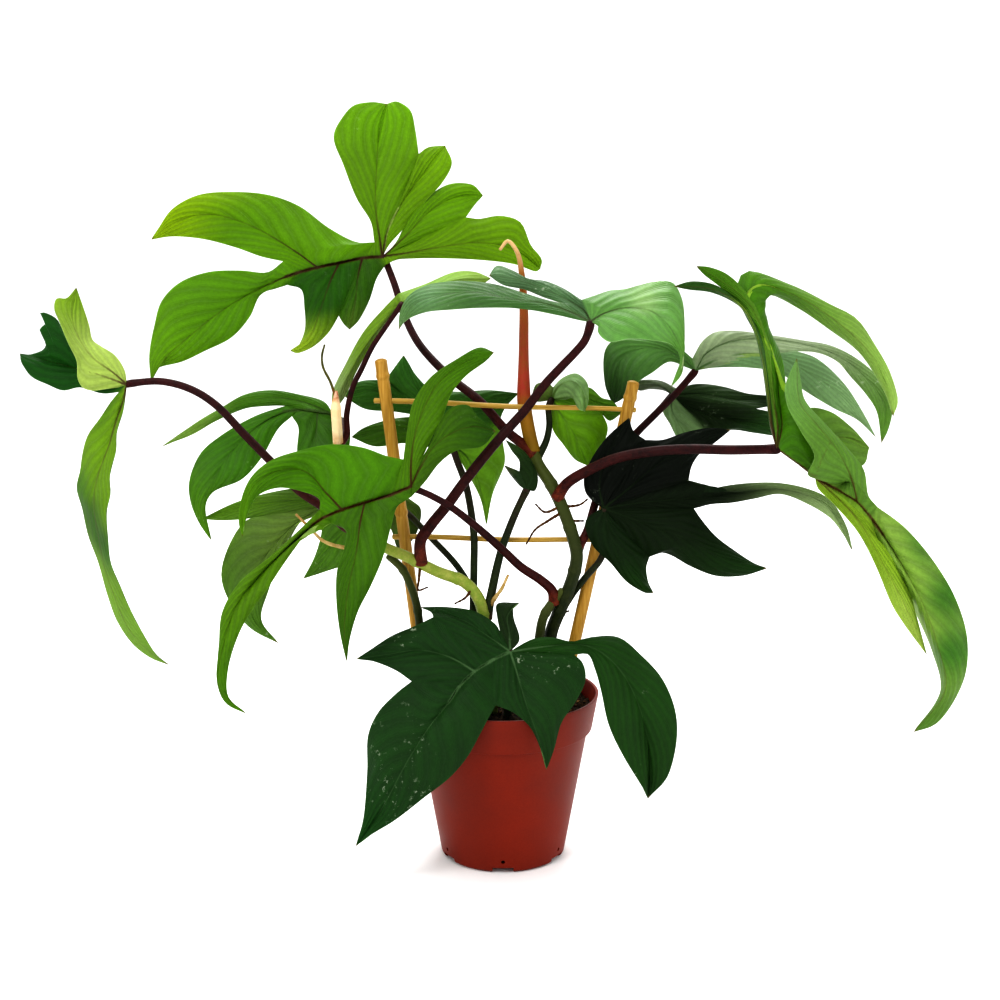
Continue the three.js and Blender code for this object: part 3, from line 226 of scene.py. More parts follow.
# %% Leaf: left front
# Bright leaf in front on the left
LEAVES["left_front"] = dict(
    back=-48, lean=0.2,
    rachis=[[-61, 255], [-75, 249], [-92, 244], [-107, 239], [-119, 234], [-127, 229]],
    blade=[
        lobe("right", 0,
            [[-55, 267], [-47, 280, 3], [-35, 290, 6], [-20, 295, 8], [-5, 292, 8]],
            [[-56, 269], [-47, 285], [-40, 301], [-33, 308], [-23, 309], [-16, 301]],
            [[-52, 258], [-42, 271], [-31, 279], [-14, 282]]),
        sinus(0, [-61, 248]),
        lobe("lower", 2,
            [[-95, 231, -3], [-98, 210, -8], [-104, 184, -12], [-107, 158, -10],
             [-106, 134, -5]],
            [[-70, 242], [-75, 227], [-80, 208], [-89, 187], [-98, 169], [-104, 149]],
            [[-105, 225], [-106, 213], [-111, 198], [-112, 177], [-110, 155]]),
        sinus(4, [-114, 230]),
        lobe("terminal", 5,
            [[-145, 212, -9], [-165, 192, -19], [-180, 172, -26], [-189, 146, -26],
             [-193, 115, -18], [-175, 97, -10]],
            [[-127, 227], [-140, 212], [-157, 187], [-172, 166], [-181, 148], [-187, 127],
             [-187, 109]],
            [[-135, 226], [-156, 207], [-177, 189], [-189, 169], [-192, 146], [-194, 118],
             [-189, 105]], [-2, -2]),
        sinus(4, [-122, 239]),
        lobe("left", 3,
            [[-118, 251, -1], [-131, 265, -7], [-148, 266, -15], [-164, 257, -22],
             [-172, 241, -23], [-174, 221, -18]],
            [[-122, 246], [-135, 252], [-150, 254], [-164, 248], [-171, 234]],
            [[-76, 275], [-93, 281], [-114, 283], [-134, 279], [-154, 272], [-167, 261],
             [-174, 246], [-176, 232]]),
        sinus(1, [-66, 273]),
        lobe("finger", 0,
            [[-61, 269], [-59, 286, 3], [-53, 305, 7], [-43, 323, 11], [-26, 337, 14],
             [-6, 344, 13]],
            [[-63, 293], [-59, 311], [-48, 327], [-31, 339], [-16, 347]],
            [[-57, 266], [-48, 286], [-40, 301], [-34, 317], [-24, 329], [-12, 338]]),
    ],
)

# %% Leaf: low front
# Dark leaf that hangs over the front of the rim
LEAVES["low_front"] = dict(
    back=-46, lean=0.5,
    rachis=[[5, 141], [-7, 135], [-19, 127], [-29, 117], [-37, 105]],
    blade=[
        lobe("far right", 0,
            [[25, 144], [43, 146, 3], [60, 144, 5], [77, 131, 6], [91, 107, 10],
             [99, 77, 18], [100, 36, 34]],
            [[11, 145], [21, 150], [33, 151], [47, 148], [60, 151], [78, 151], [94, 138],
             [108, 122], [117, 101], [119, 80], [114, 54]],
            [[58, 139], [62, 130], [67, 113], [72, 90], [83, 66], [95, 46]]),
        sinus(0, [48, 139]),
        lobe("front", 0,
            [[10, 124], [16, 103], [24, 80, 4], [30, 57, 10]],
            [[54, 133], [56, 121], [49, 105], [40, 91], [35, 72]],
            [[7, 98], [19, 87], [26, 72]]),
        sinus(1, [-5, 103]),
        lobe("terminal", 4,
            [[-50, 88, 2], [-65, 64, 10], [-80, 35, 24], [-92, 14, 36], [-102, 1, 42]],
            [[-10, 94], [-16, 82], [-24, 67], [-36, 52], [-54, 37], [-75, 20], [-89, 11]],
            [[-73, 111], [-85, 98], [-92, 82], [-93, 57], [-96, 24]]),
        sinus(3, [-62, 120]),
        lobe("left", 2,
            [[-36, 137], [-56, 142], [-78, 139], [-99, 136]],
            [[-73, 128], [-87, 134]],
            [[-59, 159], [-75, 152], [-90, 142]]),
        sinus(1, [-47, 165]),
        lobe("upper left", 0,
            [[-9, 151, 2], [-25, 162, 3], [-39, 167, 4], [-55, 172, 4]],
            [[-48, 168]],
            [[-5, 160], [-19, 169], [-37, 172]]),
        sinus(0, [-2, 155, 2]),
        lobe("upper", 0,
            [[4, 155, 3], [3, 166, 6], [11, 175, 8]],
            [[-4, 166], [-4, 174]],
            [[11, 149], [7, 165], [7, 172]]),
    ],
)
print("leaves so far:", len(LEAVES))

# %% [markdown]
# ### The leaves on the right
# Four leaves overlap here: two are in front of the trellis and two behind it. The large front one
# twists, so some of its lobes show their underside. Its upright strip is narrower than in the
# solid, and its notch deeper, as on the real leaf.

# %% Leaf: right front
# Large twisted leaf on the right
LEAVES["right_front"] = dict(
    back=-45, lean=0,
    rachis=[[181, 280], [195, 270], [207, 261], [221, 253], [236, 244], [245, 234], [254, 222]],
    blade=[
        lobe("upper far left", 0,
            [[177, 296, -2], [174, 316, -3], [170, 339, -3], [164, 359, -3],
             [155, 374, -4], [136, 385, -6], [111, 387, -8]],
            [[176, 296], [173, 316], [169, 339], [164, 357], [159, 366], [154, 374],
             [136, 383], [121, 385]],
            [[168, 354], [159, 370], [139, 387], [123, 390]], [20, 3]),
        sinus(0, [171, 344, -1]),
        lobe("upper left", 0,
            [[181, 296, 0], [177, 316, 0], [174, 339, 0], [168, 361, 0], [158, 378, -1],
             [142, 390, -3], [125, 400, -6]],
            [[167, 356], [155, 375], [139, 388], [131, 394]],
            [[171, 356], [162, 377], [146, 394], [134, 399]], [2, 2]),
        sinus(0, [175, 345, 1]),
        lobe("upper right", 0,
            [[184, 296, 2], [181, 316, 3], [178, 339, 3], [169, 360, 3], [157, 379, 2],
             [165, 388, 4], [190, 381, 10], [215, 366, 18], [236, 348, 26],
             [250, 327, 32], [257, 302, 36]],
            [[167, 358], [152, 380], [156, 396], [186, 388], [213, 375], [230, 366],
             [242, 350], [253, 332], [259, 315]],
            [[211, 275], [208, 287], [197, 291], [190, 297], [186, 318], [182, 341],
             [172, 361], [162, 379], [172, 382], [192, 373], [213, 359], [233, 344],
             [249, 321]], [6, 18]),
        sinus(1, [207, 266]),
        lobe("lens", 2,
            [[212, 276, 8], [219, 287, 14], [229, 287, 18], [242, 281, 20]],
            [[200, 286], [197, 299], [201, 307], [215, 305], [229, 295]],
            [[227, 266], [238, 269]], [4, 4]),
        sinus(3, [228, 259, 4]),
        lobe("twisted", 4,
            [[232, 259, -8], [222, 278, -16], [208, 295, -20], [195, 311, -17],
             [192, 340, -10]],
            [[221, 257], [209, 260], [202, 263], [206, 275], [197, 291], [187, 309],
             [185, 321]],
            [[243, 248], [239, 266], [227, 281], [213, 296], [198, 313], [195, 326]], [-8, 6]),
        sinus(5, [249, 241]),
        lobe("terminal", 6,
            [[269, 199, -6], [284, 172, -14], [294, 146, -20], [301, 114, -20],
             [281, 84, -10]],
            [[268, 227], [289, 203], [305, 177], [314, 149], [313, 121], [297, 91]],
            [[267, 192], [278, 169], [291, 141], [298, 113]], [8, 20]),
        sinus(5, [252, 216]),
        lobe("lower", 2,
            [[223, 247, -1], [240, 227, -8], [255, 201, -15], [270, 174, -18],
             [287, 139, -12]],
            [[263, 207], [272, 187], [279, 165]],
            [[209, 254], [221, 242], [239, 221], [253, 194], [263, 172], [274, 156]], [10, -4]),
    ],
)

# %% Leaf: right middle
# Leaf behind the centre right, with a long forked right lobe
LEAVES["right_middle"] = dict(
    back=25, lean=0.3,
    rachis=[[126, 332]],
    blade=[
        lobe("left", 0,
            [[117, 340, 3], [104, 346, 5], [89, 346, 7], [77, 338, 8], [72, 310, 6]],
            [[121, 334], [109, 338], [98, 331], [89, 325], [79, 314]],
            [[114, 348], [106, 352], [89, 354], [74, 353], [67, 346], [67, 323]]),
        sinus(0, [124, 340]),
        lobe("far right", 0,
            [[133, 344], [148, 351, 2], [168, 353, 4], [192, 350, 6], [216, 343, 8],
             [235, 330, 8], [251, 309, 4], [250, 284, -2]],
            [[130, 351], [138, 357], [151, 358], [168, 356], [194, 352], [215, 348],
             [234, 338], [248, 325], [256, 309], [254, 293]],
            [[205, 344], [219, 338], [227, 329], [238, 317], [246, 305]]),
        sinus(0, [191, 345]),
        lobe("right", 0,
            [[137, 338], [156, 343], [179, 341, -1], [201, 330, -3], [223, 315, -5],
             [246, 288, -8]],
            [[205, 340], [224, 323], [237, 304]],
            [[137, 334], [162, 334], [180, 331], [198, 319], [218, 307], [233, 300]]),
    ],
)

# %% Leaf: right back
# Dark leaf behind the centre right
LEAVES["right_back"] = dict(
    back=42, lean=0.2,
    rachis=[[111, 316]],
    blade=[
        lobe("arch", 0,
            [[103, 322], [94, 323], [86, 321]],
            [[106, 319], [96, 320], [90, 319]],
            [[104, 325], [94, 326], [88, 325]], [4, 4]),
        sinus(0, [114, 320]),
        lobe("upper", 0,
            [[129, 317, 2], [152, 313, 5], [172, 313, 7], [189, 312, 8]],
            [[125, 323], [134, 323], [146, 321], [160, 317], [177, 315]],
            [[177, 309]]),
        sinus(0, [166, 307]),
        lobe("lower", 0,
            [[124, 307], [146, 301], [169, 297], [196, 291]],
            [[177, 304]],
            [[150, 293], [166, 291], [183, 289]]),
        sinus(0, [138, 289]),
        lobe("grey", 0,
            [[111, 306, -4], [117, 295, -5], [125, 282, -4]],
            [[134, 284]],
            [[107, 312], [105, 306], [110, 297], [117, 285]], [-3, -3]),
    ],
)

# %% Leaf: right dark
# Very dark leaf right of the middle
LEAVES["right_dark"] = dict(
    back=-14.5, lean=0,
    rachis=[[67, 240]],
    blade=[
        lobe("upper", 0,
            [[64, 255], [67, 271], [74, 286], [83, 301]],
            [[61, 244], [55, 251], [54, 262], [59, 274], [68, 287], [76, 295]],
            [[86, 292]]),
        sinus(0, [94, 286]),
        lobe("upper right", 0,
            [[84, 254], [104, 271], [124, 281], [150, 293]],
            [[105, 286], [120, 291], [135, 294]],
            [[125, 269], [130, 277], [138, 283]]),
        sinus(0, [123, 259]),
        lobe("right", 0,
            [[91, 244], [124, 247, -1], [157, 251, -4], [187, 253, -9], [215, 242, -16],
             [234, 211, -24]],
            [[124, 252], [134, 252], [147, 255], [164, 257], [184, 257], [203, 253],
             [217, 246], [228, 230]],
            [[138, 243], [152, 244], [168, 247], [184, 250], [203, 243], [219, 233],
             [227, 223]]),
        sinus(0, [127, 240]),
        lobe("lower right", 0,
            [[91, 231, -2], [118, 221, -6], [147, 206, -12], [177, 199, -18]],
            [[131, 234], [142, 221], [155, 211], [167, 203]],
            [[106, 210], [113, 208], [125, 201], [143, 194], [160, 194]]),
        sinus(0, [98, 207]),
        lobe("lower", 0,
            [[71, 224, -1], [79, 208, -5], [91, 192, -11], [101, 182, -17]],
            [[96, 200], [97, 191]],
            [[62, 238], [55, 231], [60, 215], [72, 203], [83, 190], [94, 183]]),
    ],
)
print("leaves so far:", len(LEAVES))

# %% [markdown]
# ### The slanting leaf, and the far left one
# One leaf leans back almost as much as it rises, so it is seen at a slant. The other hangs at the
# far left, folded: two of its three lobes show their underside.

# %% Leaf: centre front
# Glossy leaf across the upper middle
LEAVES["centre_front"] = dict(
    back=-35, lean=0.9,
    rachis=[[57, 364]],
    blade=[
        lobe("left", 0,
            [[45, 370], [27, 376], [4, 379], [-18, 383], [-41, 381], [-58, 375],
             [-68, 359]],
            [[50, 365], [37, 368], [22, 371], [5, 373], [-15, 373], [-33, 372],
             [-51, 370], [-63, 365]],
            [[28, 378], [12, 383], [-5, 388], [-20, 390], [-34, 390], [-51, 387],
             [-62, 380], [-67, 370]]),
        sinus(0, [42, 375, 2]),
        lobe("upper left", 0,
            [[53, 371, 2], [42, 378, 4], [27, 385, 5], [10, 391, 5], [-9, 394, 3]],
            [[29, 379], [14, 385], [0, 388]],
            [[40, 385], [28, 390], [16, 392], [6, 397], [-4, 400]], [8, 2]),
        sinus(0, [51, 378]),
        lobe("right", 0,
            [[65, 369], [81, 373], [98, 370], [111, 357], [118, 338], [110, 321]],
            [[60, 381], [69, 384], [79, 385], [90, 388], [100, 390], [110, 389],
             [116, 379], [118, 365], [118, 344], [117, 330]],
            [[62, 361], [62, 357], [69, 351], [83, 353], [96, 352], [110, 349],
             [116, 340], [113, 329]]),
    ],
)

# %% Leaf: far left
# Leaf at the far left that shows its pale underside
LEAVES["far_left"] = dict(
    back=8, lean=0,
    rachis=[[-247, 323]],
    blade=[
        lobe("upper", 0,
            [[-256, 331, -2], [-269, 341, -6], [-278, 355, -8], [-281, 370, -8],
             [-277, 386, -6]],
            [[-248, 332], [-254, 342], [-263, 348], [-268, 352], [-270, 362], [-273, 373]],
            [[-261, 320], [-270, 319], [-276, 321], [-279, 327], [-279, 338], [-284, 350],
             [-289, 364], [-292, 373], [-290, 379], [-284, 379]], [14, -10]),
        sinus(0, [-253, 321, 0]),
        lobe("dark", 0,
            [[-264, 329, 10], [-289, 336, 22], [-316, 343, 30]],
            [[-274, 335], [-285, 349], [-291, 366], [-301, 370], [-298, 363], [-302, 359],
             [-298, 351], [-300, 346], [-307, 343]],
            [[-263, 317], [-278, 321], [-289, 319], [-299, 323], [-309, 328], [-314, 335]],
            [10, -4]),
        sinus(0, [-252, 318, 0]),
        lobe("hanging", 0,
            [[-250, 311, -1], [-255, 298, -3], [-260, 283, -4], [-265, 271, -4],
             [-270, 257, -2], [-272, 241, 0], [-270, 221, 2], [-267, 200, 2],
             [-261, 179, 0], [-253, 158, -3], [-242, 144, -6], [-227, 132, -8]],
            [[-258, 311], [-265, 301], [-274, 289], [-278, 277], [-280, 266], [-283, 254],
             [-280, 240], [-277, 222], [-271, 203], [-266, 181], [-260, 162], [-250, 146],
             [-239, 137]],
            [[-250, 306], [-255, 291], [-256, 279], [-259, 269], [-261, 261], [-261, 250],
             [-264, 238], [-264, 218], [-263, 203], [-257, 186], [-251, 170], [-243, 153],
             [-235, 139]], [22, -18]),
    ],
)
print("leaves so far:", len(LEAVES))

# %% [markdown]
# ### The leaves behind
# These are partly hidden. What the others cover is drawn on as the visible lobes suggest.

# %% Leaf: left back
# Leaf behind on the left
LEAVES["left_back"] = dict(
    back=45, lean=0.4,
    rachis=[[-112, 303], [-122, 305], [-134, 306], [-144, 305]],
    blade=[
        lobe("hanging", 1,
            [[-123, 293], [-124, 273], [-123, 248]],
            [[-103, 299], [-102, 279], [-110, 257]],
            [[-135, 295], [-136, 278], [-132, 258]]),
        sinus(2, [-139, 302]),
        lobe("terminal", 3,
            [[-159, 297], [-176, 282], [-190, 263], [-200, 240], [-195, 218]],
            [[-148, 294], [-160, 274], [-173, 260], [-193, 251], [-198, 242]],
            [[-163, 302], [-186, 289], [-200, 277], [-208, 259], [-208, 246], [-203, 231]]),
        sinus(2, [-142, 309]),
        lobe("finger", 0,
            [[-131, 311], [-153, 314], [-176, 309], [-199, 296], [-225, 282]],
            [[-153, 309], [-170, 307], [-189, 299], [-205, 290]],
            [[-117, 311], [-133, 316], [-152, 319], [-170, 316], [-186, 307], [-200, 299]]),
    ],
)

# %% Leaf: left middle
# Leaf behind the front left one
LEAVES["left_middle"] = dict(
    back=34, lean=0.15,
    rachis=[[-78, 248]],
    blade=[
        lobe("right", 0,
            [[-68, 240], [-63, 227], [-67, 210]],
            [[-68, 249], [-59, 244], [-55, 240], [-57, 225]],
            [[-74, 224], [-71, 214]]),
        sinus(0, [-78, 232]),
        lobe("lower", 0,
            [[-91, 238], [-108, 222], [-121, 205], [-134, 192]],
            [[-88, 215], [-103, 203], [-119, 197]],
            [[-121, 225], [-126, 207]]),
        sinus(0, [-122, 237]),
        lobe("terminal", 0,
            [[-102, 244], [-127, 237], [-152, 216], [-170, 188], [-168, 164], [-152, 147]],
            [[-133, 233], [-144, 216], [-158, 183], [-163, 163]],
            [[-171, 232], [-183, 215], [-189, 194], [-184, 176], [-171, 158]]),
        sinus(0, [-159, 235]),
        lobe("left", 0,
            [[-102, 248], [-128, 246], [-155, 244], [-178, 240], [-201, 233]],
            [[-172, 233], [-187, 232]],
            [[-84, 252], [-115, 256], [-148, 252], [-175, 245]]),
    ],
)

# %% Leaf: centre back
# Dark leaf behind the middle, with one light lobe hanging
LEAVES["centre_back"] = dict(
    back=32, lean=0.2,
    rachis=[[-34, 283]],
    blade=[
        lobe("lower left", 0,
            [[-51, 291], [-75, 293], [-100, 288]],
            [[-44, 281], [-65, 284], [-85, 282]],
            [[-73, 300], [-92, 294]]),
        sinus(0, [-52, 302]),
        lobe("left", 0,
            [[-48, 303], [-68, 314], [-86, 319], [-104, 315]],
            [[-71, 305], [-91, 307]],
            [[-93, 325], [-99, 322]]),
        sinus(0, [-77, 326]),
        lobe("peak", 0,
            [[-47, 309], [-58, 323], [-65, 342]],
            [[-71, 334]],
            [[-58, 330], [-62, 337]]),
        sinus(0, [-48, 319]),
        lobe("right", 0,
            [[-27, 305], [-9, 313], [10, 317]],
            [[-28, 318], [-9, 319]],
            [[1, 307]]),
        sinus(0, [-3, 297]),
        lobe("hanging", 0,
            [[-24, 275], [-16, 258], [-11, 229]],
            [[0, 283], [1, 271], [-7, 250]],
            [[-31, 277], [-24, 265], [-15, 247]]),
    ],
)
print("leaves so far:", len(LEAVES))

# %% [markdown]
# ### The last three leaves
# These have four, two and two lobes. The second is the smallest leaf of all.

# %% Leaf: centre right
# Leaf behind the upper rung
LEAVES["centre_right"] = dict(
    back=16, lean=0,
    rachis=[[32, 313]],
    blade=[
        lobe("left", 0,
            [[25, 318], [19, 316]],
            [[27, 312], [22, 312]],
            [[29, 324], [22, 323]]),
        sinus(0, [33, 321]),
        lobe("curled", 0,
            [[37, 322, -8], [46, 325, -20], [52, 318, -26], [54, 305, -25]],
            [[39, 327], [48, 330], [55, 324], [56, 314]],
            [[46, 314], [49, 308]], [-2, -4]),
        sinus(0, [41, 313, -6]),
        lobe("right", 0,
            [[49, 315, 1], [64, 310, 2], [78, 304, 3]],
            [[56, 321], [65, 314], [72, 312]],
            [[70, 299]]),
        sinus(0, [65, 304]),
        lobe("hanging", 0,
            [[37, 305], [47, 290], [56, 269]],
            [[69, 294], [63, 277]],
            [[32, 306], [33, 293], [40, 283], [48, 273]]),
    ],
)

# %% Leaf: centre small
# Small dark leaf beside the middle vine
LEAVES["centre_small"] = dict(
    back=-9, lean=0,
    rachis=[[16, 253]],
    blade=[
        lobe("lower", 0,
            [[9, 261], [1, 269]],
            [[13, 254], [5, 263]],
            [[6, 267]]),
        sinus(0, [11, 265]),
        lobe("upper", 0,
            [[19, 263], [12, 276], [2, 286]],
            [[11, 272], [6, 279]],
            [[21, 252], [23, 261], [16, 276], [9, 282]]),
    ],
)

# %% Leaf: arched
# Narrow pale leaf that arches up and over
LEAVES["arched"] = dict(
    back=6, lean=0,
    rachis=[[-66, 376]],
    blade=[
        lobe("left", 0,
            [[-76, 366], [-88, 351], [-100, 332], [-108, 316], [-112, 305]],
            [[-70, 370], [-84, 352], [-96, 332], [-104, 315]],
            [[-77, 373], [-91, 357], [-103, 336], [-112, 317]], [8, 12]),
        sinus(0, [-68, 382, 3]),
        lobe("right", 0,
            [[-51, 383], [-31, 391], [-8, 392]],
            [[-51, 388], [-31, 396], [-18, 396]],
            [[-51, 378], [-31, 387], [-15, 388]], [12, 8]),
    ],
)
print("leaves so far:", len(LEAVES))
# %% [markdown]
# ## Stems and stalks
# These are lines too, each with its thickness at the start and at the end. The two old stems, the
# branch and the stalks that rise from the soil are planted: they go on straight down into it.

# %% Stems
STEMS = {
    "vine_left": stem(9, 6, True,
      [[-8, 114, -14], [-9.5, 142, -14], [-13, 167.5, -15], [-17.5, 180, -16],
       [-26, 189.5, -17], [-43.5, 196.5, -19], [-65.5, 207.5, -21], [-81, 214.5, -20],
       [-97, 227.5, -15], [-105, 247.5, -11], [-109, 272.5, -8], [-109.5, 284.5, -7]]),
    "vine_centre": stem(9, 8, True,
      [[28.5, 112.5, -8], [32.5, 153.5, -4], [36.5, 165.5, -5], [42.5, 180, -7],
       [47.5, 195, -9], [49.5, 207.5, -11], [47.5, 218, -12], [42.5, 233, -11],
       [37, 246.5, -8], [31, 258, -4], [24, 268.5, 1], [19, 279.5, 5]]),
    "vine_branch": stem(7, 6, True,
      [[23, 114, -11], [25, 153.5, -12], [27.5, 165.5, -11], [33.5, 175.5, -8],
       [40.5, 183.5, -7]]),
    "stem_left": stem(6, 5, True,
      [[-55, 121, -9], [-56.5, 162, -9], [-58.5, 175.5, -9], [-62.5, 188, -11],
       [-67.5, 198.5, -13], [-76.5, 207.5, -17]]),
    "sheath": stem(9.5, 2, False,
      [[20, 278, 5], [17, 291.5, 8], [14, 309.5, 10], [13.5, 330.5, 11], [13.5, 351.5, 12],
       [13.5, 371.5, 12], [12, 395.5, 12], [9, 409, 12], [3, 416, 12], [-2, 410.5, 12]]),
    "petiole_top": stem(6.5, 4.5, False,
      [[20, 276, 3], [12, 284, 6], [2.5, 292, 8], [-15, 311.5, 10], [-35, 328, 24],
       [-54.5, 349, 42], [-64.5, 369, 56], [-70.5, 388.5, 67], [-76.5, 404, 74]]),
    "petiole_far_left": stem(6.5, 4.5, False,
      [[-94, 223, -15], [-106, 228, -11], [-115, 237.5, -8], [-136, 252.5, -5],
       [-154.5, 272.5, -2], [-170.5, 289.5, 0], [-189.5, 310, 4], [-205.5, 320, 7],
       [-225, 325, 10], [-245, 323.5, 11]]),
    "petiole_left_front": stem(6.5, 4, False,
      [[34.5, 175, -7], [33, 183.5, -9], [26, 190.5, -11], [12, 200, -15], [0.5, 211, -20],
       [-16.5, 226.5, -28], [-35.5, 241.5, -37], [-48.5, 249, -42], [-60, 254, -44]]),
    "petiole_low_front": stem(5.5, 4, True,
      [[3.5, 110.5, -24], [5, 124, -30], [5.5, 135, -38], [5, 139.5, -42]]),
    "petiole_right_front": stem(7, 6, False,
      [[36, 247.5, -9], [42.5, 257, -15], [57, 266, -23], [75.5, 274, -29],
       [98.5, 278.5, -35], [123.5, 280, -39], [150, 279.5, -41], [180, 280, -41]]),
    "petiole_right_middle": stem(5.5, 4.5, False,
      [[49, 211.5, -10], [55.5, 223, -7], [60.5, 240.5, 0], [65, 256, 8], [73.5, 273.5, 12],
       [85, 287.5, 15], [99.5, 302.5, 19], [113, 316.5, 24], [125, 330.5, 28]]),
    "petiole_right_back": stem(5, 4, True,
      [[31.5, 114, 12], [34, 153.5, 11], [42.5, 177, 11], [51.5, 211.5, 12], [58, 232, 14],
       [65, 254.5, 20], [73.5, 272.5, 25], [86, 287.5, 32], [100.5, 304, 41],
       [109.5, 314, 45.5]]),
    "petiole_right_dark": stem(5.5, 4, True,
      [[26, 114, 6], [30, 149, 5], [46, 180, 0], [55.5, 193, -6], [65.5, 205.5, -9],
       [69, 218.5, -8.5], [67.5, 236, -9]]),
    "petiole_centre_front": stem(7.5, 5, False,
      [[-55, 202.5, -21], [-55, 218, -23], [-48.5, 228, -22], [-36.5, 243, -20],
       [-26.5, 257, -18], [-11.5, 276, -16], [2, 292, -13], [14, 305.5, -12],
       [28, 323.5, -15], [38.5, 335, -20], [47.5, 344.5, -25], [53.5, 352, -29],
       [56.5, 360.5, -32]]),
    "petiole_left_back": stem(4.5, 3.5, False,
      [[-109, 279.5, -6], [-105.5, 290, 6], [-106, 298, 26], [-110.5, 302.5, 41]]),
    "petiole_left_middle": stem(5, 4, True,
      [[-14, 114, 16], [-18, 174.5, 12], [-29, 198, 13], [-49, 221, 17], [-66, 239, 24],
       [-77, 247, 30]]),
    "petiole_centre_back": stem(5.5, 4.5, True,
      [[-20.5, 114, -3], [-20, 172, -5], [-19.5, 200.5, -6], [-19.5, 223, -6],
       [-24.5, 255, 9], [-30.5, 272.5, 20], [-33.5, 281.5, 28.5]]),
    "petiole_centre_right": stem(4.5, 4, False,
      [[22, 272.5, 4], [28.5, 285.5, 8], [30.5, 296, 9], [30, 307.5, 11.5], [31.5, 312, 13]]),
    "petiole_centre_small": stem(6, 4.5, False,
      [[-11, 164.5, -14], [-8.5, 178, -13], [-1.5, 210, -9], [4, 226, -7], [10, 240.5, -5.5],
       [15.5, 252, -5.5]]),
    "petiole_arched": stem(4, 3, False,
      [[-109, 282, -6], [-103.5, 289, -3], [-103, 302.5, -1], [-98.5, 321.5, 1],
       [-93, 332.5, 1], [-85.5, 347.5, 1.5], [-75.5, 362, 1.5], [-67, 374, 2]]),
    "cataphyll_cream": stem(6, 1.5, False,
      [[-109, 284.5, -8], [-109.5, 296, -10], [-110, 308, -10], [-109.5, 318.5, -9]]),
    "dried_sheath_left": stem(3, 1.5, False,
      [[-86.5, 215, -19], [-107.5, 213.5, -13], [-121, 218.5, -10], [-130, 228, -8],
       [-138, 236, -7]]),
    "dried_sheath_centre": stem(3, 1.5, False,
      [[-8.5, 173, -15], [-4.5, 180, -17], [-0.5, 185.5, -17], [3.5, 194.5, -16]]),
    "dried_tendril": stem(1.8, 1.2, False,
      [[-110, 314.5, -9.5], [-113.5, 325, -7], [-118, 335, -4], [-118.5, 341.5, -2],
       [-116.5, 349, -1]]),
}

# Short aerial roots, each from inside its stem to its tip
ROOTS = {
    "vine_left": [
        [[-55.5, 200.5, -22], [-56.5, 191, -23], [-57, 184, -24], [-50.5, 186, -25]],
        [[-21, 185.5, -19], [-25, 179, -20], [-32.5, 174.5, -21]],
    ],
    "vine_centre": [
        [[38.5, 241.5, -10], [28, 237.5, -12], [21.5, 243, -13]],
        [[39.5, 237.5, -11], [30, 231.5, -13], [21.5, 225.5, -14], [15.5, 215.5, -15]],
        [[40.5, 241, -10], [51, 242.5, -9], [56.5, 246.5, -7]],
        [[44.5, 231.5, -12], [54, 231.5, -8]],
        [[38.5, 167.5, -6], [44.5, 169.5, -6]],
    ],
}
print(len(STEMS), "stems and stalks,", sum(map(len, ROOTS.values())), "aerial roots")

# %% [markdown]
# ## A blade as two sheets of one grid
# A leaf could be sculpted, or cut from a subdivided plane, but its ribs and veins would then have
# to be drawn by hand. Here each half lobe is a grid: its rows run from the rib to the edge and its
# columns along the rib, so the grid itself knows where the rib, the veins and the edge are. Those
# facts are kept on the mesh as attributes, and the finish reads them.

# %% Half lobes as grids
ROWS = 60
COLUMNS = 16
NEAR_RIB = 1.4          # columns crowd towards the rib, where the relief is finest
CROWDED_FROM_ROW = 6    # but not on the rachis, where lobes on both sides share their corners
CAMBER = 0.1
WEB_SHARE = (0.14, 0.57)
RUFFLE_MM, RUFFLE_EVERY_MM = 1.1, 34.0
RUFFLE_GROWS_OVER = 10  # rows, at the notch and at the tip
BORDER_GROWS_OVER = 3   # rows, from the notch on


def nearest_row(line, point):
    return int(np.argmin(np.hypot(line[:, 0] - point[0], line[:, 2] - point[2])))


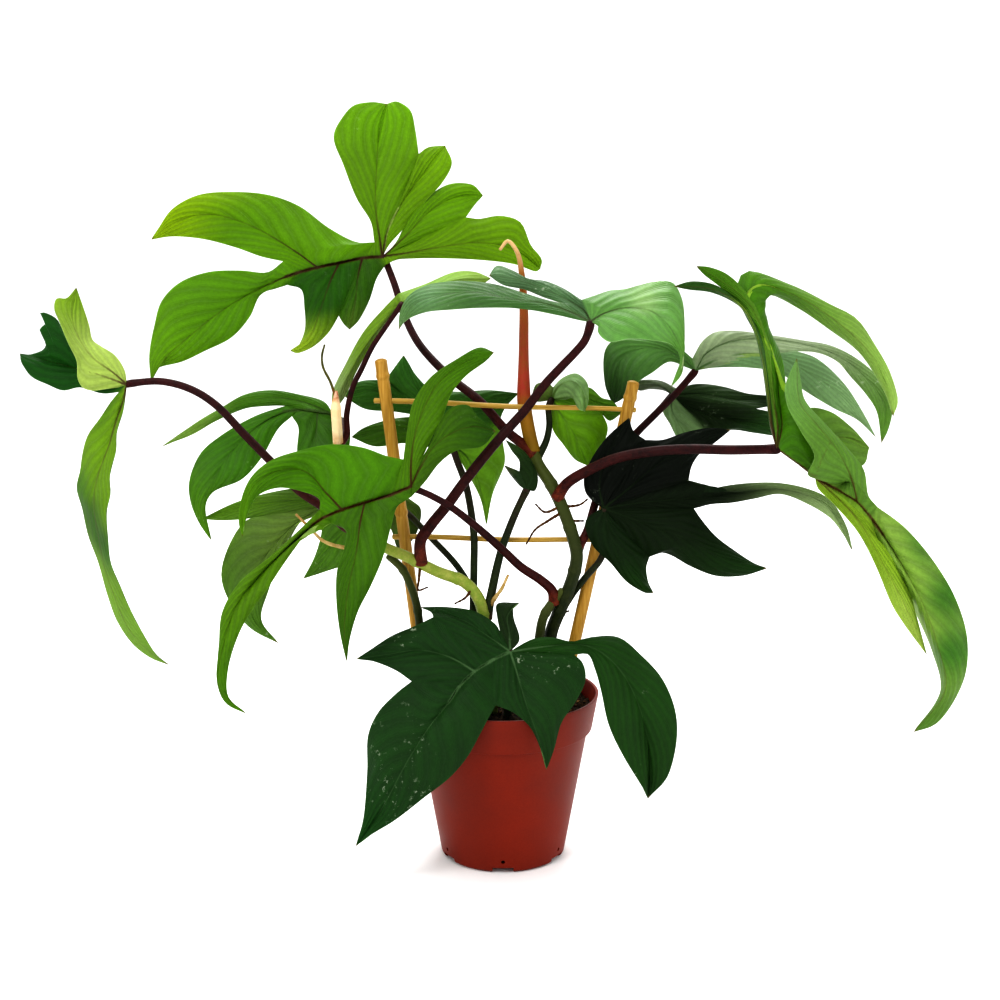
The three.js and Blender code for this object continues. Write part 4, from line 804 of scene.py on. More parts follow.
def half_lobes(leaf):
    """The lobes' ribs and one grid for each half lobe, in (across, back, up)."""
    stations = np.array([flat(p) for p in leaf["rachis"]], float)
    rachis = smooth_line(stations) if len(stations) > 1 else np.repeat(stations, 2, axis=0)

    def spine(at):
        place = min(at * SAMPLES_PER_SPAN, len(rachis) - 1.001) if len(stations) > 1 else 0.0
        first = int(place)
        return rachis[first] + (rachis[first + 1] - rachis[first]) * (place - first)

    parts = leaf["blade"]
    ribs = [evenly([spine(p["at"]), *map(flat, p["rib"])], ROWS) if p["name"] else None
            for p in parts]

    def web_rows(place):
        rows = [nearest_row(ribs[place + side], flat(parts[place]["point"])) for side in (-1, 1)]
        low, high = (round(share * ROWS) for share in WEB_SHARE)
        return int(np.clip(round(sum(rows) / 2), low, high))

    halves = []
    for place, part in enumerate(parts):
        if not part["name"]:
            continue
        rib = ribs[place]
        length = np.linalg.norm(np.diff(rib, axis=0), axis=1).sum()
        for side, edge, bulge in zip((-1, 1), part["edges"], part["bulge"]):
            web = parts[place + side] if 0 <= place + side < len(parts) else None
            joined = web_rows(place + side) if web else 0
            web_at = web["at"] if web else part["at"]
            web_end = np.array(flat(web["point"])) if web else rib[0]
            edge_line = evenly([web_end, *map(flat, edge), rib[-1]], ROWS - joined)
            along_edge = np.linspace(0, 1, ROWS - joined + 1)
            edge_line[:, 1] = (rib[joined:, 1] + (web_end[1] - rib[joined, 1]) * (1 - along_edge)
                               + bulge * np.sin(np.pi * along_edge))
            web_foot = spine(web_at)
            web_line = [web_foot + (web_end - web_foot) * i / joined for i in range(joined)]
            margin = np.vstack([*web_line, edge_line])
            columns = max(1, abs(web_at - part["at"])) * COLUMNS
            even = np.linspace(0, 1, columns + 1)
            row = np.arange(ROWS + 1)[:, None]
            crowded = np.clip(row / CROWDED_FROM_ROW, 0, 1)
            across = even + (even ** NEAR_RIB - even) * crowded
            grid = rib[:, None] + (margin - rib)[:, None] * across[..., None]
            width = np.linalg.norm(margin - rib, axis=1)[:, None]
            grid[..., 1] -= CAMBER * width * np.sin(np.pi * across)
            free = (np.clip((row - joined) / RUFFLE_GROWS_OVER, 0, 1)
                    * np.clip((ROWS - row) / RUFFLE_GROWS_OVER, 0, 1))
            wave = np.sin(2 * np.pi * row / ROWS * length / RUFFLE_EVERY_MM + place + side)
            grid[..., 1] += RUFFLE_MM * free * wave * across ** 2
            grid[0] = [spine(part["at"] + (web_at - part["at"]) * share) for share in even]
            edge = across * np.clip((row - joined) / BORDER_GROWS_OVER, 0, 1)
            halves.append(dict(grid=grid, across=across, along=row / ROWS + 0 * across, edge=edge,
                               length=length, side=side, name=part["name"]))
    return [rib for rib in ribs if rib is not None], rachis, halves


# %% [markdown]
# What a finish has to know is kept on the mesh, at its corners: how far along a lobe, how near to
# a rib, which side of the leaf. A number is one value there, and a colour is four.

# %% Facts kept on a mesh for its finish to read
def keep_facts(mesh, domain="POINT", **facts):
    for name, values in facts.items():
        attribute = mesh.attributes.new(name, "FLOAT", domain)
        attribute.data.foreach_set("value", np.asarray(values, np.float32))


def keep_colour(mesh, name, colours):
    attribute = mesh.attributes.new(name, "FLOAT_COLOR", "POINT")
    rgba = np.concatenate([colours, np.ones((len(colours), 1))], axis=1)
    attribute.data.foreach_set("color", rgba.astype(np.float32).ravel())


# %% [markdown]
# ## Colours and soft steps
# Colours are written as sRGB hex values, as a paint chart gives them, while Blender mixes light in
# linear values. One function turns the first into the second. Another goes softly from 0 to 1.

# %% Colour and ease
def linear(hex_colour):
    """An sRGB hex colour such as #4a7d10 as linear red, green, blue."""
    channels = [int(hex_colour[i:i + 2], 16) / 255 for i in (1, 3, 5)]
    return tuple(c / 12.92 if c <= 0.04045 else ((c + 0.055) / 1.055) ** 2.4 for c in channels)


def ease(low, high, values):
    t = np.clip((values - low) / (high - low), 0, 1)
    return t * t * (3 - 2 * t)


print("a leaf green in linear values:", [round(c, 3) for c in linear("#4a7d10")])

# %% [markdown]
# ## A blade's mesh
# The half lobes are sewn together: corners at the same place become one. Two copies of the sheet,
# moved apart along its normals, are the upper and the under side. On the real leaf the veins lie
# in shallow valleys of the upper side and the ribs stand out below, so the sheet is quilted
# between the veins and thickened along the ribs. All of it needs to know the sheet's faces and
# normals first.

# %% Faces and normals of the sheet
def faces_of(halves, index):
    """The blade's faces, turned the same way, over the grids' corners and over the sewn ones."""
    loose, sewn, start = [], [], 0
    for half in halves:
        rows, columns = half["across"].shape
        place = start + np.arange(rows * columns).reshape(rows, columns)
        start += rows * columns
        a, b, c, d = place[:-1, :-1], place[1:, :-1], place[1:, 1:], place[:-1, 1:]
        order = (a, d, c, b) if half["side"] > 0 else (a, b, c, d)
        for corners in np.stack(order, axis=-1).reshape(-1, 4).tolist():
            same = [index[v] for v in corners]
            kept = [k for k in range(4) if same[k] != same[k - 1]]
            if len(kept) > 2:
                loose.append([corners[k] for k in kept])
                sewn.append([same[k] for k in kept])
    return loose, sewn


def vertex_normals(points, faces):
    normals = np.zeros_like(points)
    for size in (3, 4):
        group = np.array([f for f in faces if len(f) == size]).reshape(-1, size)
        square = np.cross(points[group[:, 2]] - points[group[:, 0]],
                          points[group[:, -1]] - points[group[:, 1]])
        for corner in group.T:
            np.add.at(normals, corner, square)
    return normals / np.maximum(np.linalg.norm(normals, axis=1, keepdims=True), 1e-9)


# %% How near a corner is to a rib
RIB_HALF_MM = (0.65, 0.2)    # at the foot and at the tip
RACHIS_HALF_MM = 0.9


def rib_nearness(points, ribs, rachis):
    """How far each corner is from the nearest rib, in half widths of that rib."""
    nearest = np.full(len(points), 1e3)
    lines = [(rib, np.linspace(*RIB_HALF_MM, len(rib))) for rib in ribs]
    lines.append((rachis, np.full(len(rachis), RACHIS_HALF_MM)))
    for line, half_width in lines:
        gap = np.linalg.norm(points[:, None, ::2] - line[None, :, ::2], axis=2)
        nearest = np.minimum(nearest, (gap / half_width).min(axis=1))
    return nearest


# %% Veins
VEIN_EVERY_MM = 16.0
VEIN_SWEEP = 0.6             # how far towards the tip a vein bends, in lobe lengths
VEIN_SWEEP_MM = 60.0         # but never further than this


def vein_phase(half):
    """Whole numbers are veins: they leave the rib in turn and bend towards the tip."""
    sweep = min(VEIN_SWEEP * half["length"], VEIN_SWEEP_MM)
    return (half["length"] * half["along"] - sweep * half["across"] ** 0.9) / VEIN_EVERY_MM


# %% [markdown]
# The camera sees one side of each lobe, so each lobe has a colour for the side that is seen, going
# over to another at its tip, and the leaf has one for the side behind. The seen colours carry
# painted light and shade as well as the lobe's own green. Neighbouring corners are blended after
# that, because a leaf's colour has no hard border between lobes.

# %% Colours of the two sides
TIP_COLOUR_OVER = (0.45, 0.95)   # the share of a lobe's length where the tip's colour comes in
OTHER = {"upper": "under", "under": "upper"}


def softened(values, pairs, rounds=16):
    """Values at corners, blended with their neighbours' so that lobes have no hard border."""
    ends = np.concatenate([pairs, pairs[:, ::-1]])
    count = np.bincount(ends[:, 0], minlength=len(values))[:, None]
    for _ in range(rounds):
        total = np.stack([np.bincount(ends[:, 0], values[ends[:, 1], k], len(values))
                          for k in range(values.shape[1])], axis=1)
        values = (values + total / np.maximum(count, 1)) / 2
    return values


def plain(look):
    """The side, colour and tip colour of a lobe that isn't named in the look."""
    return look["shows"], look[look["shows"]], look[look["shows"]]


def painted(halves, grids, toward_eye, look):
    """Red, green, blue and side as seen and behind, and which of the grids' corners face us."""
    in_front, behind = np.zeros((len(grids), 4)), np.zeros((len(grids), 4))
    toward, start = np.zeros(len(grids)), 0
    for half in halves:
        here = slice(start, start + half["across"].size)
        start = here.stop
        side, colour, tip = look["lobes"].get(half["name"], plain(look))
        other = OTHER[side]
        share = ease(*TIP_COLOUR_OVER, half["along"]).reshape(-1, 1)
        blend = (1 - share) * linear(colour) + share * linear(tip)
        in_front[here] = np.hstack([blend, np.full_like(share, side == "under")])
        behind[here] = (*linear(look[other]), other == "under")
        toward[here] = toward_eye[here].mean()
    for across_mm, up_mm, radius, side, colour in look["patches"]:
        share = np.exp(-(((grids[:, ::2] - (across_mm, up_mm)) / radius) ** 2).sum(axis=1) ** 2)
        in_front += (np.array([*linear(colour), side == "under"]) - in_front) * share[:, None]
    return in_front, behind, toward > 0


# %% A blade's mesh
HALF_THICKNESS_MM = 0.3
QUILT_MM = 0.5
QUILT_ENDS_ACROSS = (0.72, 0.98)     # flat again before the edge
QUILT_ENDS_ALONG = (0.85, 1)         # and at the tip
QUILT_STARTS_OFF_RIB = (1.5, 6)      # in half widths of the rib
RIB_RIDGE_MM, RIB_GROOVE_MM = 0.5, 0.1
RIB_REACH = 1.3                      # in half widths of the rib
SAME_CORNER_PER_MM, KEY_SHIFT = 1000, 0.37
SHARP_FROM_DEG = 50


def blade_mesh(name, leaf, look):
    ribs, rachis, halves = half_lobes(leaf)
    grids = np.vstack([half["grid"].reshape(-1, 3) for half in halves])
    keys = np.floor(grids * SAME_CORNER_PER_MM + KEY_SHIFT).astype(np.int64)
    _, first, index = np.unique(keys, axis=0, return_index=True, return_inverse=True)
    index = index.reshape(-1)
    corners = grids[first]
    loose, faces = faces_of(halves, index.tolist())

    def gathered(values_of):
        return np.concatenate([values_of(half).ravel() for half in halves])[first]

    across = gathered(lambda half: half["across"])
    along = gathered(lambda half: half["along"])
    phase = gathered(vein_phase)
    back = leaf["back"] + leaf["lean"] * (corners[:, 2] - leaf["rachis"][0][1]) + corners[:, 1]
    middle = seen(np.stack([corners[:, 0], back, corners[:, 2]], axis=1))
    normals = vertex_normals(middle, faces)
    faces_eye = ((EYE_MM - middle) * normals).sum(axis=1)

    in_front, behind, shown = painted(halves, grids, faces_eye[index], look)
    front = shown[first][:, None]
    pairs = np.unique(np.sort(np.array([(f[i - 1], f[i]) for f in faces for i in range(len(f))]),
                              axis=1), axis=0)
    plus = softened(np.where(front, in_front[first], behind[first]), pairs)
    minus = softened(np.where(front, behind[first], in_front[first]), pairs)

    # Relief: quilted between veins, a groove above each rib and a ridge below it
    under = plus[:, 3]
    rib = rib_nearness(corners, ribs, rachis)
    veined = ((1 - ease(*QUILT_ENDS_ACROSS, across)) * ease(*QUILT_STARTS_OFF_RIB, rib)
              * (1 - ease(*QUILT_ENDS_ALONG, along)))
    quilt = (1 - 2 * under) * QUILT_MM * veined * (0.5 - 0.5 * np.cos(2 * np.pi * phase))
    near_rib = np.exp(-(rib / RIB_REACH) ** 2) * (1 - along) ** 0.5
    groove, ridge = RIB_GROOVE_MM * near_rib, RIB_RIDGE_MM * near_rib
    over = HALF_THICKNESS_MM + quilt - groove * (1 - under) + ridge * under
    below = -HALF_THICKNESS_MM + quilt + groove * under - ridge * (1 - under)
    points = np.vstack([middle + normals * over[:, None], middle + normals * below[:, None]])

    count = len(corners)
    directed = {(f[i - 1], f[i]) for f in faces for i in range(len(f))}
    rim = [(a, b) for a, b in directed if (b, a) not in directed]
    mesh = bpy.data.meshes.new(name)
    mesh.from_pydata((points * MM).tolist(), [], [
        *faces,
        *([v + count for v in reversed(face)] for face in faces),
        *([b, a, a + count, b + count] for a, b in sorted(rim)),
    ])
    # Veins are told apart at face corners, since two lobes' veins meet along the web between them
    loops = np.array([v for face in loose for v in face] + [v for f in loose for v in reversed(f)])
    around = np.array([v for a, b in sorted(rim) for v in (b, a, a, b)])
    for key, values in (("vein", vein_phase), ("across", lambda half: half["across"]),
                        ("edge", lambda half: half["edge"])):
        at_grids = np.concatenate([values(half).ravel() for half in halves])
        at_loops = np.concatenate([at_grids[loops], gathered(values)[around]])
        keep_facts(mesh, "CORNER", **{key: at_loops})
    keep_facts(mesh, rib=np.tile(rib, 2), along=np.tile(along, 2),
               under=np.concatenate([plus[:, 3], minus[:, 3]]), wax=np.full(2 * count, look["wax"]))
    keep_colour(mesh, "paint", np.vstack([plus[:, :3], minus[:, :3]]))
    keep_colour(mesh, "rib_paint", np.tile(linear(look["rib"]), (2 * count, 1)))
    mesh.shade_smooth()
    mesh.set_sharp_from_angle(angle=math.radians(SHARP_FROM_DEG))
    return mesh


# %% [markdown]
# ## Bars of changing thickness
# Stems, stalks, canes, sheaths and roots are all a ring of points carried along a line. Blender's
# curve object could bevel such a line, but here every ring has its own radius, so that a stalk
# swells at its foot, a cane has its joints and a stem its leaf scars.

# %% Rings carried along a line
def carried_rings(line, sides, first_out=(0, -1, 0)):
    """Two directions square to the line at each of its points, turning as little as they can."""
    forward = np.gradient(line, axis=0)
    forward /= np.linalg.norm(forward, axis=1, keepdims=True)
    outs, out = [], np.array(first_out, float)
    for direction in forward:
        out = out - direction * out.dot(direction)
        out /= np.linalg.norm(out)
        outs.append(out)
    outs = np.array(outs)
    angles = np.linspace(0, 2 * np.pi, sides, endpoint=False)
    return outs, np.cross(forward, outs), angles


def ring_faces(count, sides):
    """Faces between so many rings, with a point past each end that closes it."""
    after = np.roll(np.arange(sides), -1)
    faces = [(i * sides + j, i * sides + k, (i + 1) * sides + k, (i + 1) * sides + j)
             for i in range(count - 1) for j, k in enumerate(after)]
    faces += [(k, j, count * sides) for j, k in enumerate(after)]
    last = (count - 1) * sides
    faces += [(last + j, last + k, count * sides + 1) for j, k in enumerate(after)]
    return faces


# %% A bar
def bar_mesh(name, line, radius_at, sides=20, flatten=1.0, first_out=(0, -1, 0)):
    """A closed bar round a line in mm; radius_at(run, length, angles) gives each ring's radii."""
    run = np.concatenate([[0], np.cumsum(np.linalg.norm(np.diff(line, axis=0), axis=1))])
    outs, asides, angles = carried_rings(line, sides, first_out)
    radii = np.array([radius_at(r, run[-1], angles) + 0 * angles for r in run])
    rings = (line[:, None]
             + outs[:, None] * (radii * np.cos(angles) * flatten)[..., None]
             + asides[:, None] * (radii * np.sin(angles))[..., None])
    # The ends are rounded off with two smaller rings and a point
    caps = []
    for end, inward in ((0, 1), (-1, -1)):
        centre, ring = line[end], rings[end]
        out = line[end] - line[end + inward]
        out = out / np.linalg.norm(out) * radii[end].mean() * 0.35
        wide, narrow = centre + (ring - centre) * 0.8, centre + (ring - centre) * 0.4
        caps.append([wide + out * 0.6, narrow + out])
    rings = np.concatenate([[caps[0][1], caps[0][0]], rings, [caps[1][0], caps[1][1]]])
    along = np.concatenate([[0, 0], run, [run[-1]] * 2]) / run[-1]
    count = len(rings)
    points = np.vstack([rings.reshape(-1, 3), rings[0].mean(axis=0), rings[-1].mean(axis=0)])
    mesh = bpy.data.meshes.new(name)
    mesh.from_pydata((points * MM).tolist(), [], ring_faces(count, sides))
    keep_facts(mesh, along=np.concatenate([np.repeat(along, sides), [0, 1]]))
    mesh.shade_smooth()
    mesh.set_sharp_from_angle(angle=math.radians(SHARP_FROM_DEG))
    return mesh


def bump_at(value, centre, half_width):
    """1 at the centre, falling smoothly to 0 over about twice the half width."""
    return np.exp(-((value - centre) / half_width) ** 2)


# %% [markdown]
# ## Finishes
# Every material below is a node tree that reads the facts kept on the mesh and adds noise at real
# sizes. `add` makes one node: its settings are named, and its inputs are either a value or another
# node's output. Five small functions call it for what is needed often. Object coordinates are in
# metres, so a pattern of size s mm has the scale 1000 / s.

# %% The one helper that adds a node
def add(tree, kind, inputs=None, **settings):
    node = tree.nodes.new(kind)
    for name, value in settings.items():
        setattr(node, name, value)
    for socket, value in (inputs or {}).items():
        if isinstance(value, bpy.types.NodeSocket):
            tree.links.new(value, node.inputs[socket])
        else:
            node.inputs[socket].default_value = value
    return node


# A colour Mix node has several sockets of the same name: these are the ones for colours
FACTOR, FROM, TO, MIXED = 0, 6, 7, 2


def opaque(hex_colour):
    return (*linear(hex_colour), 1.0)


# %% Nodes that are needed often
def maths(tree, operation, *values):
    """One sum on values or outputs; MULTIPLY_ADD is the first times the second, plus the third."""
    node = add(tree, "ShaderNodeMath", dict(enumerate(values)), operation=operation)
    return node.outputs["Value"]


def ranged(tree, value, source, target=(0.0, 1.0), kind="LINEAR"):
    """A value carried over from one range to another, and held at its ends."""
    ends = {"From Min": source[0], "From Max": source[1], "To Min": target[0], "To Max": target[1]}
    node = add(tree, "ShaderNodeMapRange", {"Value": value, **ends}, interpolation_type=kind)
    return node.outputs["Result"]


def grain(tree, place, size_mm, detail=2.0, roughness=0.5):
    """Noise whose largest blotches are about so many mm."""
    return add(tree, "ShaderNodeTexNoise", {"Vector": place, "Scale": 1000 / size_mm,
               "Detail": detail, "Roughness": roughness}).outputs["Fac"]


def mixed(tree, share, first, second):
    """Two colours mixed, with so large a share of the second."""
    node = add(tree, "ShaderNodeMix", {FACTOR: share, FROM: first, TO: second}, data_type="RGBA")
    return node.outputs[MIXED]


def colour_ramp(tree, value, stops):
    """A colour for each value, from a list of (value, hex colour)."""
    node = add(tree, "ShaderNodeValToRGB", {"Fac": value})
    elements = node.color_ramp.elements
    while len(elements) < len(stops):
        elements.new(0.5)
    for element, (position, hex_colour) in zip(elements, stops):
        element.position = position
        element.color = opaque(hex_colour)
    return node.outputs["Color"]


def new_material(name, constants):
    """A material with its tree and its Principled shader, with the shader's constants set."""
    material = bpy.data.materials.new(name)
    material.use_nodes = True
    tree = material.node_tree
    shader = tree.nodes["Principled BSDF"]
    for socket, value in constants.items():
        shader.inputs[socket].default_value = value
    return material, tree, shader


# %% [markdown]
# ### Leaf blades
# A philodendron's leaf is waxy above and matt below. Its colour isn't even: it is blotched where
# the light reached it unevenly, paler along the veins, and the ribs carry the stalk's dark red,
# which fades into the green. Painted shade darkens the valleys round the veins, and painted light
# brightens the crests between them. A thin clear border runs round the edge, and old tips dry
# brown.

# %% Vein lines
VEIN_LINE = (0.72, 1.0)        # where, between two veins, the line begins
FINE_VEINS_PER_VEIN = 6


def vein_lines(tree, vein, place):
    """Pale veins, the wide valleys they lie in and the fine veins between: 1 on the line."""
    wander = grain(tree, place, 12)
    moved = maths(tree, "MULTIPLY_ADD", wander, 0.35, vein)

    def lines(per_vein, low, high):
        phase = maths(tree, "MULTIPLY", moved, float(per_vein))
        swing = maths(tree, "PINGPONG", phase, 0.5)
        near = ranged(tree, swing, (0.0, 0.5), (1.0, 0.0))
        return ranged(tree, near, (low, high), (0.0, 1.0), "SMOOTHSTEP")

    return lines(1, *VEIN_LINE), lines(1, 0.0, 1.0), lines(FINE_VEINS_PER_VEIN, 0.2, 1.0)


# %% Green of a blade, with its veins, ribs and painted shade in the vein valleys
def blade_green(tree, facts, blotches, cells, veins, valleys, contrast):
    rib, across, along = (facts[key].outputs["Fac"] for key in ("rib", "across", "along"))

    lightness = ranged(tree, blotches, (0.3, 0.7), (1 - contrast, 1 + contrast))
    speckle = ranged(tree, cells, (0.3, 0.7), (0.93, 1.07))
    mottled = maths(tree, "MULTIPLY", lightness, speckle)
    blade = add(tree, "ShaderNodeHueSaturation",
                {"Color": facts["paint"].outputs["Color"], "Value": mottled})

    inside = ranged(tree, across, (0.8, 1.0), (1.0, 0.0))
    vein_mask = maths(tree, "MULTIPLY", veins, inside)
    # Painted shade and light: darker in the wide valleys round the veins, lighter on the crests
    # between them
    quilt_shading = ranged(tree, valleys, (0.0, 1.0), (1.09, 0.88))
    quilt_shaded = add(tree, "ShaderNodeHueSaturation",
                 {"Color": blade.outputs["Color"], "Value": quilt_shading})
    pale = add(tree, "ShaderNodeHueSaturation",
               {"Color": quilt_shaded.outputs["Color"], "Saturation": 0.9, "Value": 1.3})
    vein_share = maths(tree, "MULTIPLY", vein_mask, 0.35)
    veined = mixed(tree, vein_share, quilt_shaded.outputs["Color"], pale.outputs["Color"])

    # The dark red of the ribs, ending in a ragged border
    ragged = maths(tree, "MULTIPLY_ADD", cells, 0.8, rib)
    rib_mask = ranged(tree, ragged, (2.3, 1.0), (0.0, 1.0), "SMOOTHSTEP")
    fading = ranged(tree, along, (0.02, 0.4), (0.9, 0.25), "SMOOTHSTEP")
    rib_share = maths(tree, "MULTIPLY", rib_mask, fading)
    ribbed = mixed(tree, rib_share, veined, facts["rib_paint"].outputs["Color"])
    return ribbed


# %% Border, dry tip and dust
def worn(tree, facts, place, green, dusty):
    """The green with its border, tip and dust, and how dusty each point is."""
    along = facts["along"].outputs["Fac"]
    border = ranged(tree, facts["edge"].outputs["Fac"], (0.965, 1.0), (0.0, 0.6))
    clear = add(tree, "ShaderNodeHueSaturation",
                {"Color": green, "Saturation": 0.85, "Value": 1.6})
    edged = mixed(tree, border, green, clear.outputs["Color"])
    tip = ranged(tree, along, (0.975, 0.998), (0.0, 0.85))
    tipped = mixed(tree, tip, edged, opaque("#6d5a2c"))

    # Specks of dust and dried water, only where a second noise lets them gather
    specks = grain(tree, place, 4, 6.0, 0.7)
    near_speck = ranged(tree, specks, (0.60, 0.68), (0.0, dusty))
    gather = grain(tree, place, 45)
    gathered = ranged(tree, gather, (0.58, 0.66))
    speck_share = maths(tree, "MULTIPLY", near_speck, gathered)
    dusted = mixed(tree, speck_share, tipped, opaque("#b9c3ac"))
    return dusted, speck_share


# %% Leaf finish
MATT_ROUGHNESS, WAXED_ROUGHNESS = 0.62, 0.24
FACTS = ("paint", "rib_paint", "rib", "vein", "across", "edge", "along", "under", "wax")


def leaf_finish(name, shine, contrast, dusty, glow):
    material, tree, shader = new_material(name, {"IOR": 1.45, "Specular IOR Level": shine})
    facts = {key: add(tree, "ShaderNodeAttribute", attribute_name=key) for key in FACTS}
    place = add(tree, "ShaderNodeTexCoord").outputs["Object"]
    under = facts["under"].outputs["Fac"]

    # Blotches of about 30 mm, and cells of about 2 mm, drawn coarser than the real ones
    blotches = grain(tree, place, 30, 4.0)
    cells = grain(tree, place, 2)
    veins, valleys, fine = vein_lines(tree, facts["vein"].outputs["Fac"], place)
    green = blade_green(tree, facts, blotches, cells, veins, valleys, contrast)
    colour, dust = worn(tree, facts, place, green, dusty)
    tree.links.new(colour, shader.inputs["Base Color"])

    # Waxy above, matt below, and duller where dusty
    wax = ranged(tree, facts["wax"].outputs["Fac"], (0.0, 1.0), (MATT_ROUGHNESS, WAXED_ROUGHNESS))
    sided = maths(tree, "MULTIPLY_ADD", under, 0.14, wax)
    uneven = maths(tree, "MULTIPLY_ADD", blotches, 0.1, sided)
    dull = maths(tree, "MULTIPLY_ADD", dust, 0.3, uneven)
    tree.links.new(dull, shader.inputs["Roughness"])

    # Veins lie in valleys above and stand out below; the cells between them are a fine leather
    way = ranged(tree, under, (0.0, 1.0), (-1.0, 1.0))
    fine_way = maths(tree, "MULTIPLY", fine, way)
    vein_way = maths(tree, "MULTIPLY", valleys, way)
    relief = maths(tree, "MULTIPLY_ADD", vein_way, 3.0, fine_way)
    height = maths(tree, "MULTIPLY_ADD", cells, 0.5, relief)
    bump = add(tree, "ShaderNodeBump", {"Height": height, "Strength": 0.5, "Distance": 0.0002})
    tree.links.new(bump.outputs["Normal"], shader.inputs["Normal"])

    # A blade is so thin that light from behind comes through it, yellower than from the front
    through = add(tree, "ShaderNodeHueSaturation", {"Color": colour, "Hue": 0.485,
                  "Saturation": 1.1, "Value": 1.5})
    translucent = add(tree, "ShaderNodeBsdfTranslucent", {"Color": through.outputs["Color"],
                      "Normal": bump.outputs["Normal"]})
    both = add(tree, "ShaderNodeMixShader", {0: glow, 1: shader.outputs["BSDF"],
               2: translucent.outputs["BSDF"]})
    tree.links.new(both.outputs["Shader"], tree.nodes["Material Output"].inputs["Surface"])
    return material


LEAF_FINISHES = {
    "leaf_bright": leaf_finish("leaf blade, young and waxy", 0.2, 0.08, 0.10, 0.20),
    "leaf_deep": leaf_finish("leaf blade, grown and waxy", 0.25, 0.12, 0.60, 0.08),
    "leaf_dark": leaf_finish("leaf blade, old and dark", 0.15, 0.16, 0.20, 0.03),
    "leaf_pale": leaf_finish("leaf blade, showing its matt underside", 0.25, 0.08, 0.10, 0.15),
}

# %% [markdown]
# ### Stems, stalks and sheaths
# These finishes share one plan: a colour that changes along the piece, streaks drawn out along it,
# small warts, and a bump. A stalk is dark red-brown with a green-brown ground showing through.

# %% Finish for stems and stalks
def stem_finish(name, ramp, streak, streak_share, roughness,
                wart_mm=1.5, wart_share=0.3, shine=0.3):
    """ramp: (share of the length, hex colour) from the foot of the piece to its tip."""
    material, tree, shader = new_material(name, {"IOR": 1.45, "Specular IOR Level": shine})
    place = add(tree, "ShaderNodeTexCoord").outputs["Object"]
    along = add(tree, "ShaderNodeAttribute", attribute_name="along").outputs["Fac"]
    wander = grain(tree, place, 15, 3.0)
    moved = maths(tree, "MULTIPLY_ADD", wander, 0.12, along)
    shifted = maths(tree, "SUBTRACT", moved, 0.06)
    colours = colour_ramp(tree, shifted, ramp)
    blotches = grain(tree, place, 5, 5.0, 0.65)
    patch = ranged(tree, blotches, (0.45, 0.65), (0.0, streak_share))
    streaked = mixed(tree, patch, colours, opaque(streak))
    warts = add(tree, "ShaderNodeTexVoronoi", {"Vector": place, "Scale": 1000 / wart_mm})
    wart = ranged(tree, warts.outputs["Distance"], (0.3, 0.1))
    wart_light = ranged(tree, wart, (0.0, 1.0), (1.0, 1 + wart_share))
    lit = add(tree, "ShaderNodeHueSaturation", {"Color": streaked,
              "Value": wart_light})
    tree.links.new(lit.outputs["Color"], shader.inputs["Base Color"])
    rough = maths(tree, "MULTIPLY_ADD", blotches, 0.25, roughness - 0.12)
    tree.links.new(rough, shader.inputs["Roughness"])
    height = maths(tree, "MULTIPLY_ADD", blotches, 0.6, wart)
    bump = add(tree, "ShaderNodeBump", {"Height": height, "Strength": 0.5,
               "Distance": 0.00025})
    tree.links.new(bump.outputs["Normal"], shader.inputs["Normal"])
    return material


STEM_FINISHES = {
    "vine_pale": stem_finish("climbing stem, pale green bark",
                             [(0, "#56642a"), (0.35, "#788a34"), (1, "#8a943a")],
                             "#a6a25a", 0.5, 0.5),
    "vine_olive": stem_finish("climbing stem, olive bark",
                              [(0, "#161c0c"), (0.5, "#222b10"), (1, "#485020")],
                              "#3e4220", 0.4, 0.5, shine=0.2),
    "new_leaf_sheath": stem_finish("new leaf, furled in its sheath",
                                   [(0, "#7c6010"), (0.2, "#94681c"), (0.3, "#9c3c2c"),
                                    (0.5, "#96482a"), (0.78, "#92581c"), (0.92, "#cba878")],
                                   "#7a5a1c", 0.35, 0.45, wart_share=0.05, shine=0.2),
    "dry_sheath": stem_finish("dry sheath, papery",
                              [(0, "#80622e"), (0.5, "#a8905a"), (1, "#94703c")],
                              "#cdb583", 0.6, 0.8, wart_share=0.1, shine=0.1),
    "petiole": stem_finish("leaf stalk, dark red with fine warts",
                           [(0, "#6c2e18"), (0.07, "#401410"), (0.5, "#2e0c0c"), (1, "#380f10")],
                           "#180606", 0.7, 0.5, wart_mm=1.2, wart_share=0.9, shine=0.2),
}
# Pieces that share a slot with others but look different
OLD_STALK = stem_finish("leaf stalk, old and dark green",
                        [(0, "#4a2a16"), (0.06, "#232c12"), (0.6, "#1a2410"), (1, "#2c1c14")],
                        "#2e3a1c", 0.6, 0.5, wart_mm=1.2, wart_share=0.6, shine=0.2)
CREAM_SHEATH = stem_finish("bract, dried cream white",
                           [(0, "#b98a58"), (0.25, "#e6cfa6"), (0.75, "#e2c493"),
                            (0.92, "#a04a26")],
                           "#f0e0c0", 0.5, 0.7, wart_share=0.05, shine=0.2)
TENDRIL = stem_finish("bract tip, dried olive brown",
                      [(0, "#8a4a26"), (0.2, "#4c4a22"), (1, "#3a3c1a")],
                      "#6a6434", 0.5, 0.8, wart_share=0.05, shine=0.1)
FINISH_OF = {
    "petiole_low_front": OLD_STALK,
    "petiole_right_back": OLD_STALK,
    "petiole_right_dark": OLD_STALK,
    "petiole_left_middle": OLD_STALK,
    "petiole_centre_back": OLD_STALK,
    "petiole_centre_small": OLD_STALK,
    "petiole_centre_right": OLD_STALK,
    "cataphyll_cream": CREAM_SHEATH,
    "dried_tendril": TENDRIL,
}
ROOT_FINISH = stem_finish("aerial root, brown and wiry", [(0, "#4c3018"), (1, "#2c1a0e")],
                          "#6b4c2c", 0.5, 0.85, wart_share=0.1, shine=0.1)

